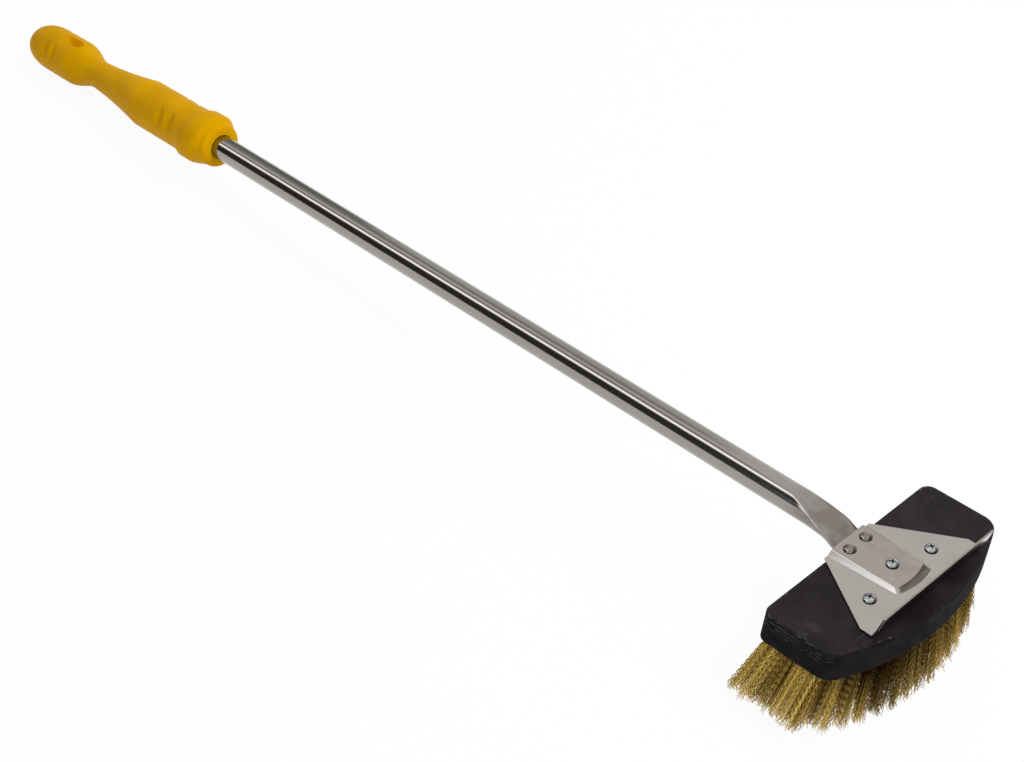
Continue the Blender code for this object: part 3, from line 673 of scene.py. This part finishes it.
def axis_height(y):
    """Height of the tube's axis, which rises slightly towards the grip."""
    return TUBE_AXIS_HEIGHT + max(y, 0) * math.tan(TUBE_RISE)


def neck_facet(x, y):
    """Height of the slope that the press left on top of the neck, with faint press marks."""
    slope = lower_of(0, -max(y, 0) * math.tan(NECK_RAMP), NECK_RAMP_ROUND)
    marks = noise.noise(Vector((x * 90, y * 70, 4.7))) * NECK_MARK_HEIGHT * blend(0, 1, y / 0.012)
    start = NECK_RAMP_START * math.tan(NECK_RAMP) * blend(0, 1, y / 0.006)
    return EMBOSS_RISE - slope - start + marks


def tube_ring(y, inset):
    """A ring whose first points lie on the neck's facet, between its two creases."""
    roundness = blend(0, 1, y / NECK_LENGTH)
    flat_half = TUBE_FLAT_THICKNESS / 2
    half_height = flat_half + (TUBE_DIAMETER / 2 - flat_half) * roundness
    half_width = blend(TUBE_FLAT_WIDTH, TUBE_DIAMETER, y / NECK_NARROWING) / 2
    straight_half = max(half_width - half_height, 0)
    flat_bottom = TUBE_FLAT_CENTRE - flat_half
    bottom = flat_bottom + (axis_height(y) - TUBE_DIAMETER / 2 - flat_bottom) * roundness
    centre = bottom + half_height
    radius = half_height - inset
    ceiling = neck_facet(0, y) - inset
    slope = min(max((ceiling - centre) / radius, -1), 1)
    crease = max(math.acos(slope), NARROWEST_FACET)
    round_points = TUBE_SIDES - FACET_POINTS
    angles = [crease * (2 * step / (FACET_POINTS - 1) - 1) for step in range(FACET_POINTS)]
    step_size = (math.tau - 2 * crease) / (round_points + 1)
    angles += [crease + step_size * step for step in range(1, round_points + 1)]
    ring = []
    for angle in angles:
        x = math.copysign(straight_half, math.sin(angle)) + radius * math.sin(angle)
        top = centre + radius * math.cos(angle)
        if math.cos(angle) > 0 and y > 0:
            top = lower_of(top, neck_facet(x, y) - inset, NECK_CREASE_ROUND)
        ring.append((x, y, top))
    return ring


def make_tube():
    """Loft from the flattened end through the neck to the round tube, and back along the bore."""
    stations = [-TUBE_FLAT_REACH, -0.02]
    stations += [NECK_END * step / 24 for step in range(25)]
    stations += [NECK_END + (PRESSED_END - NECK_END) * step / 24 for step in range(1, 25)]
    stations += [PRESSED_END + (TUBE_END - PRESSED_END) * step / 14 for step in range(1, 15)]
    bore = (TUBE_END, PRESSED_END, NECK_END, NECK_END / 2, 0.0, -TUBE_FLAT_REACH)
    rings = [tube_ring(y, 0) for y in stations]
    rings += [tube_ring(y, TUBE_WALL) for y in bore]
    bm = loft(rings, closed=True)
    bmesh.ops.transform(bm, matrix=HEAD, verts=bm.verts)
    mesh = to_mesh("steel_tube", bm)
    shade_round(mesh, math.radians(50))
    place_piece("steel_tube", mesh, [tube_finish()], ["handle_tube"])


# Grip

def grip_outside():
    """Points of (radius, distance from the mouth) from the socket out to the grip's far end."""
    nose = NOSE_DIAMETER / 2
    collar = COLLAR_DIAMETER / 2
    body = BODY_DIAMETER / 2
    waist = WAIST_DIAMETER / 2
    bulb = BULB_DIAMETER / 2
    bore = TUBE_DIAMETER / 2 + TOUCH_GAP
    socket_end = GRIP_SOCKET + TOUCH_GAP
    outside = [(0.0, socket_end), (bore, socket_end)]
    outside += [(bore, MOUTH_CHAMFER), (bore + MOUTH_CHAMFER, 0.0)]
    for across, along in arc((0, 0), 1, -math.pi / 2, 0, 14):
        outside.append((nose + MOUTH_ROUND_WIDTH * (across - 1), MOUTH_ROUND_LENGTH * (along + 1)))
    stretches = [
        (NOSE_LENGTH - MOUTH_ROUND_LENGTH, 1, lambda share: nose),
        (COLLAR_RISE, 18, lambda share: blend(nose, collar, share)),
        (COLLAR_LENGTH - COLLAR_FALL - NOSE_LENGTH - COLLAR_RISE, 4, lambda share: collar),
        (COLLAR_FALL, 22, lambda share: blend(collar, body, share)),
        (BODY_LENGTH, 70, lambda share: body),
        (TAPER_LENGTH, 30, lambda share: waist + (body - waist) * (1 - share) ** TAPER_POWER),
        (BULB_SHOULDER_LENGTH, 20, lambda share: blend(waist, bulb, share)),
        (BULB_LENGTH - BULB_SHOULDER_LENGTH - ROUND_END_LENGTH, 36, lambda share: bulb),
    ]
    start = MOUTH_ROUND_LENGTH
    for length, steps, radius_at in stretches:
        for step in range(1, steps + 1):
            outside.append((radius_at(step / steps), start + length * step / steps))
        start += length
    steps = 40
    power = 2 / ROUND_END_SQUARENESS
    for step in range(1, steps):
        angle = math.pi / 2 * step / steps
        along = start + ROUND_END_LENGTH * math.sin(angle) ** power
        outside.append((bulb * math.cos(angle) ** power, along))
    outside.append((0.0, GRIP_LENGTH))
    return outside


def notch_dent(point, turn, along, diameter):
    """Moves a point of the grip out of the rod that one finger notch was cut with."""
    out = Vector((math.sin(turn), -math.cos(turn), 0))
    reach = diameter / 2 + NOTCH_CUTTER_RADIUS - NOTCH_DEPTH
    apart = abs(point.z - along)
    if apart >= NOTCH_CUTTER_RADIUS or point.dot(out) < 0:
        return point
    floor = reach - math.sqrt(NOTCH_CUTTER_RADIUS ** 2 - apart ** 2)
    height = point.dot(out)
    return point + out * (lower_of(height, floor, NOTCH_EDGE_ROUND) - height)


def slanted(point):
    """Leans the collar's upper side towards the head. The grip's own frame has +Z along it, +Y down."""
    out_of_nose = blend(0, 1, point.z / (NOSE_LENGTH + COLLAR_RISE))
    into_body = blend(1, 0, (point.z - COLLAR_LENGTH) / COLLAR_FADE)
    shift = math.tan(COLLAR_SLANT) * point.y * out_of_nose * into_body
    return Vector((point.x, point.y, point.z + shift))


def slanted_end(point):
    """Lets the left side of the rounded end reach a little further than the right."""
    share = (point.z - GRIP_LENGTH + ROUND_END_LENGTH) / ROUND_END_LENGTH
    return Vector((point.x, point.y, point.z - point.x * ROUND_END_SLANT * blend(0, 1, share)))


def notched(point):
    """Moves a point of the grip out of every finger notch."""
    for along, diameter in ((BODY_NOTCH_PLACE, BODY_DIAMETER), (BULB_NOTCH_PLACE, BULB_DIAMETER)):
        for side in (-1, 1):
            for shift in (-NOTCH_SPACING / 2, NOTCH_SPACING / 2):
                point = notch_dent(point, side * NOTCH_TURN, along + shift, diameter)
    return point


def hang_slot(grip_turn):
    """The rounded slot that the brush hangs on, as a tool to cut the grip with."""
    radius = HANG_SLOT_WIDTH / 2
    run = HANG_SLOT_LENGTH / 2 - radius
    outline = arc((0, HANG_SLOT_PLACE + run), radius, 0, math.pi, HANG_SLOT_STEPS)
    outline += arc((0, HANG_SLOT_PLACE - run), radius, math.pi, math.tau, HANG_SLOT_STEPS)
    cutter = to_mesh("hang_slot", prism(outline, -BULB_DIAMETER, BULB_DIAMETER))
    cutter.transform(grip_turn @ Matrix.Rotation(math.pi / 2, 4, "X"))
    return cutter


def make_grip():
    """A turned grip with a slanted collar, a bored socket, finger notches and a hanging slot."""
    bm = turned(grip_outside(), GRIP_SIDES)
    socket = TUBE_DIAMETER / 2 + TOUCH_GAP + MOUTH_CHAMFER
    place = Matrix.Translation((0, GRIP_START, axis_height(GRIP_START)))
    socket_turn = place @ Matrix.Rotation(TUBE_RISE - math.pi / 2, 4, "X")
    grip_turn = place @ Matrix.Rotation(TUBE_RISE - GRIP_TILT - math.pi / 2, 4, "X")
    for vertex in bm.verts:
        if vertex.co.xy.length < socket and vertex.co.z < GRIP_SOCKET + TUBE_WALL:
            vertex.co = socket_turn @ vertex.co
        else:
            vertex.co = grip_turn @ slanted(slanted_end(notched(vertex.co.copy())))
    grip = to_mesh("moulded_grip", bm)
    cutter = hang_slot(grip_turn)
    plastic = plastic_finish("moulded_plastic", (0.635, 0.322, 0.0004), (0.72, 0.365, 0.0008))
    # Painted light: the slot's walls glow faintly orange, standing in for light through the yellow
    # plastic
    slot_glow = plastic_finish("plastic_glowing_in_slot", (0.66, 0.31, 0.0004), (0.70, 0.33, 0.0006),
                             Emission_Color=(0.27, 0.22, 0.0, 1), Emission_Strength=0.45)
    grip.materials.append(plastic)
    cutter.materials.append(slot_glow)
    mesh = worked(grip, cut_by(cutter))
    mesh.transform(HEAD)
    shade_round(mesh, math.radians(40))
    place_piece("moulded_grip", mesh, [], ["grip"])


# Fasteners

def dome(radius, height, base, steps):
    """Profile of a domed head from its crown to its rim."""
    ball = (radius ** 2 + height ** 2) / (2 * height)
    spread = math.asin(radius / ball)
    points = []
    for step in range(steps + 1):
        angle = spread * step / steps
        points.append((ball * math.sin(angle), base + height - ball * (1 - math.cos(angle))))
    return points


def cross_outline():
    arm = CROSS_SLOT_LENGTH / 2
    half = CROSS_SLOT_WIDTH / 2
    quarter = [Vector((arm, -half)), Vector((arm, half)), Vector((half, half))]
    outline = []
    for turn in range(4):
        rotation = Matrix.Rotation(turn * math.pi / 2, 2)
        outline += [rotation @ point for point in quarter]
    return outline


def make_screw(node, place, seat, length, turn, zinc, recess):
    """Pan head wood screw with a tapered cross recess."""
    base = seat + TOUCH_GAP
    head = SCREW_HEAD_DIAMETER / 2
    shank = SCREW_SHANK_DIAMETER / 2
    rim = SCREW_RIM_ROUND
    profile = dome(head - rim * 0.3, SCREW_HEAD_HEIGHT - SCREW_HEAD_RIM, base + SCREW_HEAD_RIM, 10)
    profile += [(head, base + SCREW_HEAD_RIM - rim), (head, base + rim), (head - rim, base)]
    profile += [(shank, base), (shank, base - length + SCREW_POINT_LENGTH), (0.0, base - length)]
    body = to_mesh(node + "_body", turned(profile, FASTENER_SIDES))
    top = base + 2 * SCREW_HEAD_HEIGHT
    floor = base + SCREW_HEAD_HEIGHT - CROSS_SLOT_DEPTH
    cross = to_mesh(node + "_cross", prism(cross_outline(), floor, top, CROSS_SLOT_TAPER))
    body.materials.append(zinc)
    # The recess walls take a darker zinc, a painted shade
    cross.materials.append(recess)
    mesh = worked(body, cut_by(cross))
    mark_rim(mesh, head)
    shade_round(mesh, math.radians(40))
    mesh.transform(HEAD @ Matrix.Translation((*place, 0)) @ Matrix.Rotation(turn, 4, "Z"))
    place_piece(node + "_fine", mesh, [], [node])


def make_rivet(node, place, steel):
    """Domed rivet through the emboss and the flattened tube, with its tail spread below."""
    base = EMBOSS_TOP + TOUCH_GAP
    tail_top = TUBE_FLAT_CENTRE - TUBE_FLAT_THICKNESS / 2 - TOUCH_GAP
    shank = RIVET_SHANK_DIAMETER / 2
    tail = RIVET_TAIL_DIAMETER / 2
    head = RIVET_HEAD_DIAMETER / 2
    tail_end = tail_top - RIVET_TAIL_HEIGHT
    rim = RIVET_RIM_ROUND
    profile = dome(head - rim, RIVET_HEAD_HEIGHT - 2 * rim, base + 2 * rim, 12)
    profile += [(head, base + rim), (head - rim, base), (shank, base), (shank, tail_top)]
    profile += [(tail, tail_top), (tail, tail_end), (0.0, tail_end)]
    mesh = to_mesh(node + "_fine", turned(profile, FASTENER_SIDES))
    mark_rim(mesh, head)
    shade_round(mesh, math.radians(50))
    mesh.transform(HEAD @ Matrix.Translation((*place, 0)))
    place_piece(node + "_fine", mesh, [steel], [node])


def make_fasteners():
    steel = fastener_finish("rivet_steel", (0.27, 0.24, 0.215), 0.12)
    zinc = fastener_finish("zinc_plate", (0.50, 0.53, 0.52), 0.12)
    # Painted shade: darker zinc for the walls of the cross recess
    recess = fastener_finish("zinc_recess_shade", (0.10, 0.13, 0.125), 0.3)
    for side, label, turn in ((-1, "left", 0.35), (1, "right", 0.95)):
        make_rivet("rivet_" + label, on_side(side, RIVET_PLACE), steel)
        make_screw("screw_" + label, on_side(side, SCREW_SIDE_PLACE), PLATE_TOP, SCREW_LENGTH, turn,
                   zinc, recess)
    make_screw("screw_centre", SCREW_CENTRE_PLACE, EMBOSS_TOP, CENTRE_SCREW_LENGTH, 0.6,
               zinc, recess)


# Finishes

class Value:
    """A shader socket that can stand in a Python sum."""

    def __init__(self, tree, socket):
        self.tree = tree
        self.socket = socket

    def math(self, operation, *values):
        return self.tree.node("Math", dict(enumerate(values)), operation=operation)

    def __add__(self, other):
        return self.math("ADD", self, other)

    def __radd__(self, other):
        return self.math("ADD", other, self)

    def __sub__(self, other):
        return self.math("SUBTRACT", self, other)

    def __rsub__(self, other):
        return self.math("SUBTRACT", other, self)

    def __mul__(self, other):
        return self.math("MULTIPLY", self, other)

    def __rmul__(self, other):
        return self.math("MULTIPLY", other, self)

    def __abs__(self):
        return self.math("ABSOLUTE", self)


class ShaderTree:
    """The node tree of a material or of the world, with one method that makes each node."""

    def __init__(self, nodes, links):
        self.nodes = nodes
        self.links = links

    def node(self, kind, inputs, output=0, **settings):
        made = self.nodes.new("ShaderNode" + kind)
        for name, value in settings.items():
            setattr(made, name, value)
        for key, value in inputs.items():
            self.feed(made.inputs[key], value)
        return Value(self, made.outputs[output])

    def feed(self, socket, value):
        if isinstance(value, Value):
            self.links.new(value.socket, socket)
        elif isinstance(value, tuple) and len(value) == 3 and socket.type == "RGBA":
            socket.default_value = (*value, 1)
        else:
            socket.default_value = value

    def seen(self):
        """One for a ray that the picture shows, straight or mirrored, and nought for the rest."""
        rays = [self.node("LightPath", {}, output=f"Is {kind} Ray")
                for kind in ("Camera", "Glossy", "Transmission")]
        return rays[0] + rays[1] + rays[2]


class Finish(ShaderTree):
    """One material, with the patterns that it is painted with."""

    def __init__(self, name, **constants):
        self.material = bpy.data.materials.new(name)
        self.material.use_nodes = True
        super().__init__(self.material.node_tree.nodes, self.material.node_tree.links)
        self.shader = self.nodes["Principled BSDF"]
        for socket, value in constants.items():
            self.shader.inputs[socket.replace("_", " ")].default_value = value

    def show(self, shader):
        self.feed(self.nodes["Material Output"].inputs["Surface"], shader)
        return self.material

    def give(self, **sockets):
        for name, value in sockets.items():
            self.feed(self.shader.inputs[name.replace("_", " ")], value)
        return self.material

    def place(self, scale=(1, 1, 1), turn=(0, 0, 0)):
        """Where a point lies in the head's frame, stretched for a pattern."""
        here = self.node("TexCoord", {}, output="Object")
        home = self.node("Mapping", {"Vector": here, "Location": tuple(HEAD.translation),
                                     "Rotation": tuple(HEAD.to_euler())}, vector_type="TEXTURE")
        if scale == (1, 1, 1) and turn == (0, 0, 0):
            return home
        return self.node("Mapping", {"Vector": home, "Scale": scale, "Rotation": turn},
                         vector_type="POINT")

    def axis(self, index):
        return self.node("SeparateXYZ", {0: self.place()}, output=index)

    def apart(self, spot):
        """Distance from a spot in the head's frame."""
        return self.node("VectorMath", {0: self.place(), 1: spot}, output="Value",
                         operation="DISTANCE")

    def noise(self, place, scale, detail):
        return self.node("TexNoise", {"Vector": place, "Scale": scale, "Detail": detail})

    def spread(self, value, low, high, start=0.0, end=1.0):
        return self.node("MapRange", {"Value": value, "From Min": low, "From Max": high,
                                      "To Min": start, "To Max": end})

    def blend(self, share, first, second):
        return self.node("Mix", {0: share, 6: first, 7: second}, output=2, data_type="RGBA")

    def bump(self, height, distance, strength):
        return self.node("Bump", {"Height": height, "Distance": distance, "Strength": strength})

    def attribute(self, name):
        return self.node("Attribute", {}, output="Fac", attribute_name=name)


def plywood_face():
    finish = Finish("plywood_film_face", Specular_IOR_Level=0.16)
    place = finish.place()
    smudge = finish.spread(finish.noise(place, 24, 5), 0.40, 0.70)
    speck = finish.spread(finish.noise(place, 520, 2), 0.62, 0.74)
    scratch = abs(finish.noise(finish.place((35, 260, 1), (0, 0, 0.6)), 1, 2) - 0.5)
    scratch = finish.spread(scratch, 0.006, 0.0)
    patch = finish.spread(finish.noise(place, 35, 2), 0.48, 0.62)
    rub = finish.spread(finish.apart((-0.094, -0.036, 0)), 0.012, 0.002)
    rub = rub * finish.spread(finish.noise(place, 120, 3), 0.42, 0.62)
    chip = finish.attribute("rim") * finish.spread(finish.noise(place, 230, 2), 0.62, 0.70)
    colour = finish.blend(smudge, (0.0068, 0.0044, 0.0066), (0.0205, 0.0163, 0.0197))
    worn = scratch * patch * 0.35 + speck * 0.08 + rub * 0.25
    colour = finish.blend(worn, colour, (0.12, 0.11, 0.12))
    colour = finish.blend(chip * 0.7, colour, (0.20, 0.19, 0.19))
    return finish.give(Base_Color=colour, Roughness=0.55 + 0.2 * smudge,
                       Normal=finish.bump(finish.noise(place, 900, 2), 0.00005, 0.4))


def plywood_edge():
    finish = Finish("plywood_edge", Specular_IOR_Level=0.09)
    grain = finish.noise(finish.place((70, 70, 1500)), 1, 3)
    depth = finish.axis(2) * (-1 / PLY_STEP) + (0.5 - PLY_FIRST_SEAM / PLY_STEP)
    ply = finish.node("Math", {0: depth, 1: 0.5}, operation="PINGPONG")
    ridge = finish.spread(ply, 0.22, 0.05)
    high = finish.spread(depth, 3.7, 2.7)
    flake_and_glint = finish.spread(finish.noise(finish.place((210, 210, 600)), 1, 2), 0.46, 0.62)
    end = finish.spread(finish.axis(0), -0.093, -0.101, 0.08, 1.0)
    blotch = finish.spread(finish.noise(finish.place(), 90, 3), 0.4, 0.7)
    colour = finish.blend(blotch, (0.0035, 0.0025, 0.0028), (0.0110, 0.0085, 0.0090))
    corner = finish.spread(finish.axis(1), -0.068, -0.050, 0.2, 1.0)
    # Pale ply ridges, partly the plies' own pale edges and partly a painted highlight where the block's
    # left end catches the light
    colour = finish.blend(ridge * high * flake_and_glint * end * corner, colour, (0.080, 0.074, 0.074))
    return finish.give(Base_Color=colour, Roughness=0.75 - 0.1 * grain,
                       Normal=finish.bump(grain, 0.0003, 0.6))


def brass_finish():
    finish = Finish("crimped_brass", Metallic=0.95, Specular_IOR_Level=0.2)
    tone = finish.attribute("tone")
    depth = finish.attribute("depth")
    # left, right and side mark the block's ends, where less painted shade is laid on the wires
    left = finish.spread(finish.axis(0), -0.068, -0.112, 0.0, 1.2)
    right = finish.spread(finish.axis(0), -0.062, 0.03, 0.0, 0.62)
    side = left + right
    # Painted shade: the wires darken towards their roots, where the block shades them
    root = finish.spread(depth + side, 0.3, 1.35, 1.0, 0.0)
    bright = finish.spread(tone, 0.15, 0.70)
    colour = finish.blend(bright, (0.14, 0.060, 0.006), (0.94, 0.66, 0.16))
    colour = finish.blend(finish.spread(depth, 0.6, 1.0, 0.0, 0.35), colour, (1.0, 0.75, 0.24))
    # Painted shade: every second ring, the crimp valleys, is darkened, less at the block's ends
    valley_shade = finish.attribute("valley_shade") * (0.85 - 0.4 * side)
    colour = finish.blend(valley_shade, colour, (0.060, 0.026, 0.004))
    colour = finish.blend(root, colour, (0.045, 0.019, 0.004))
    tarnish = finish.noise(finish.place(), 300, 2)
    return finish.give(Base_Color=colour, Roughness=0.22 + 0.2 * tarnish)


def sheet_finish():
    finish = Finish("polished_sheet", Metallic=1.0)
    place = finish.place()
    smudge = finish.noise(place, 30, 4)
    brush = finish.noise(finish.place((1800, 30, 30), (0, 0, 0.1)), 1, 2)
    raised = finish.spread(finish.axis(2), PLATE_TOP + 0.002, EMBOSS_TOP - 0.0003)
    stain = finish.spread(finish.noise(place, 70, 3), 0.52, 0.72)
    streak = finish.spread(finish.noise(finish.place((150, 900, 1), (0, 0, 0.1)), 1, 2), 0.60, 0.70)
    colour = finish.blend(finish.spread(smudge, 0.4, 0.7), (0.41, 0.38, 0.345), (0.37, 0.345, 0.315))
    colour = finish.blend(raised * 0.85, colour, (0.355, 0.312, 0.276))
    colour = finish.blend(raised * stain * 0.35, colour, (0.27, 0.19, 0.175))
    colour = finish.blend(raised * streak * 0.3, colour, (0.16, 0.11, 0.10))
    return finish.give(Base_Color=colour, Roughness=0.11 + 0.06 * smudge + 0.02 * brush,
                       Normal=finish.bump(brush, 0.00001, 0.08))


def tube_finish():
    finish = Finish("ground_tube", Metallic=1.0)
    ground = finish.noise(finish.place((1500, 6, 1500)), 1, 3)
    cloud = finish.noise(finish.place((60, 20, 60)), 1, 3)
    along = finish.axis(1)
    patch = finish.spread(finish.noise(finish.place(), 62, 2), 0.38, 0.62)
    # Painted dark reflection: blotches on the pressed neck, darker towards the flattened end
    neck_dark_reflection = finish.spread(along, 0.060, 0.030)
    # Painted shade: darker still over the last few millimetres before the plate
    shade = finish.spread(along, 0.013, 0.003) * (0.55 + 0.45 * patch)
    colour = finish.blend(cloud, (0.30, 0.285, 0.262), (0.35, 0.335, 0.310))
    colour = finish.blend(neck_dark_reflection * (0.15 + 0.85 * patch), colour, (0.225, 0.200, 0.178))
    colour = finish.blend(shade * 0.9, colour, (0.115, 0.097, 0.085))
    return finish.give(Base_Color=colour, Roughness=0.10 + 0.03 * ground,
                       Normal=finish.bump(ground, 0.00001, 0.04))


def fastener_finish(name, colour, roughness):
    finish = Finish(name, Metallic=1.0)
    wear = finish.noise(finish.place(), 500, 3)
    # Painted shade: a dark ring towards the head's rim, standing in for its shadow and dark reflection
    # there
    ring = finish.spread(finish.attribute("rim"), 0.70, 0.98)
    shade = finish.blend(finish.spread(wear, 0.4, 0.7), colour, tuple(0.75 * c for c in colour))
    shade = finish.blend(ring * 0.85, shade, tuple(0.12 * c for c in colour))
    return finish.give(Base_Color=shade, Roughness=roughness + 0.12 * wear)


def plastic_finish(name, darker, lighter, **glow):
    finish = Finish(name, Specular_IOR_Level=0.04, Specular_Tint=(1.0, 0.7, 0.05, 1), **glow)
    place = finish.place()
    cloud = finish.noise(place, 25, 3)
    grain = finish.noise(place, 1400, 2)
    colour = finish.blend(finish.spread(cloud, 0.4, 0.65), darker, lighter)
    return finish.give(Base_Color=colour, Roughness=0.45 + 0.1 * cloud,
                       Normal=finish.bump(grain, 0.00004, 0.2))


# Studio

def make_camera():
    data = bpy.data.cameras.new("camera")
    data.lens = CAMERA_LENS
    data.sensor_width = CAMERA_SENSOR
    data.clip_start = 0.01
    data.clip_end = 20
    right = Vector(CAMERA_RIGHT)
    up = Vector(CAMERA_UP)
    camera = new_object("camera", data)
    turn = Matrix((right, up, right.cross(up))).transposed().to_4x4()
    camera.matrix_world = HEAD @ Matrix.Translation(CAMERA_PLACE) @ turn
    bpy.context.scene.camera = camera


def make_sheet(name, size, matrix, material):
    """A flat studio sheet, for the floor or for a card that only shows as a reflection."""
    bm = bmesh.new()
    bmesh.ops.create_grid(bm, x_segments=1, y_segments=1, size=0.5,
                          matrix=matrix @ Matrix.Diagonal((*size, 1, 1)))
    mesh = to_mesh(name, bm)
    mesh.materials.append(material)
    sheet = new_object(name, mesh)
    return sheet


def make_floor():
    finish = Finish("pale_floor", Roughness=0.9, Specular_IOR_Level=0.1)
    finish.give(Base_Color=(0.88, 0.88, 0.88))
    lit = Value(finish, finish.shader.outputs[0])
    glow = finish.node("Emission", {"Color": WHITE, "Strength": 1.0})
    mixed = finish.node("MixShader", {0: finish.seen() * FLOOR_GLOW_SHARE, 1: lit, 2: glow})
    matrix = Matrix.Translation((0, 0, -FLOOR_DROP))
    make_sheet("floor", (FLOOR_SIZE, FLOOR_SIZE), matrix, finish.show(mixed))


def make_card(name, strength, size, matrix, colour):
    """A studio card or softbox that only reflections show."""
    finish = Finish(name)
    glow = finish.node("Emission", {"Color": colour, "Strength": strength})
    card = make_sheet(name, size, HEAD @ matrix, finish.show(glow))
    card.visible_camera = False
    card.visible_diffuse = False
    card.visible_shadow = False


def strip_card(name, strength, turns, run, colour=WHITE):
    """A card along the tube that spans two angles about it, from straight up towards +X."""
    low, high = (math.radians(turn) for turn in turns)
    width = 2 * STRIP_DISTANCE * math.tan((high - low) / 2)
    middle = Matrix.Translation((0, (run[0] + run[1]) / 2, 0))
    turn = Matrix.Rotation((low + high) / 2, 4, "Y")
    matrix = middle @ turn @ Matrix.Translation((0, 0, STRIP_DISTANCE))
    make_card(name, strength, (width, run[1] - run[0]), matrix, colour)


def facing_card(name, strength, size, direction):
    """A card that faces the head from a direction."""
    direction = Vector(direction).normalized()
    turn = direction.to_track_quat("Z", "Y").to_matrix().to_4x4()
    make_card(name, strength, size, Matrix.Translation(direction * CARD_DISTANCE) @ turn, WHITE)


def make_cards():
    strip_card("strip_softbox", 3.2, (-32, -23), (0.3, 6))
    strip_card("upper_grey_card", 0.30, (-14.5, -5), (1.15, 6))
    strip_card("right_grey_card", 0.48, (12, 36), (1.3, 6))
    strip_card("right_pale_card", 0.78, (36, 84), (1.3, 2.5))
    strip_card("right_dark_card", 0.28, (36, 84), (2.5, 6))
    strip_card("left_black_card_high", 0.05, (-58, -38), (0.84, 6))
    strip_card("left_black_card_low", 0.05, (-86, -58), (0.98, 6))
    strip_card("left_softbox_high", 2.5, (-58, -38), (-1.5, 0.84), COOL_WHITE)
    strip_card("left_softbox_low", 2.9, (-86, -58), (-1.5, 0.98), COOL_WHITE)
    facing_card("front_grey_card", 0.22, (2.6, 1.1), (0.62, -0.565, 0.545))
    facing_card("key_softbox_face", 2.6, (0.7, 0.6), (-0.36, -0.60, 0.68))


def make_world():
    world = bpy.data.worlds.new("studio")
    bpy.context.scene.world = world
    world.use_nodes = True
    studio = ShaderTree(world.node_tree.nodes, world.node_tree.links)
    studio.nodes.clear()
    room = studio.node("Background", {"Color": WHITE, "Strength": ROOM_LIGHT})
    white = studio.node("Background", {"Color": WHITE, "Strength": 1.0})
    mixed = studio.node("MixShader", {0: studio.seen(), 1: room, 2: white})
    output = studio.nodes.new("ShaderNodeOutputWorld")
    studio.feed(output.inputs["Surface"], mixed)


def make_lamp(name, place, target, size, power):
    data = bpy.data.lights.new(name, "AREA")
    data.shape = "RECTANGLE"
    data.size, data.size_y = size
    data.energy = power
    lamp = new_object(name, data)
    lamp.location = place
    lamp.rotation_euler = (Vector(target) - Vector(place)).to_track_quat("-Z", "Y").to_euler()
    lamp.visible_camera = False
    lamp.visible_glossy = False


def light_studio():
    make_world()
    make_cards()
    make_lamp("front_softbox", (0.7, -1.6, 2.2), (0, 0, 0), (1.4, 1.4), 48)
    make_lamp("right_softbox", (1.8, 0.9, 1.9), (0, 0.3, 0), (1.0, 1.8), 15)
    make_lamp("left_softbox", (-1.9, -0.6, 1.9), (0, 0, 0), (1.2, 1.8), 5)


bpy.context.scene.view_settings.view_transform = "Standard"
make_camera()
make_floor()
light_studio()
make_block()
make_wires()
make_plate()
make_tube()
make_grip()
make_fasteners()
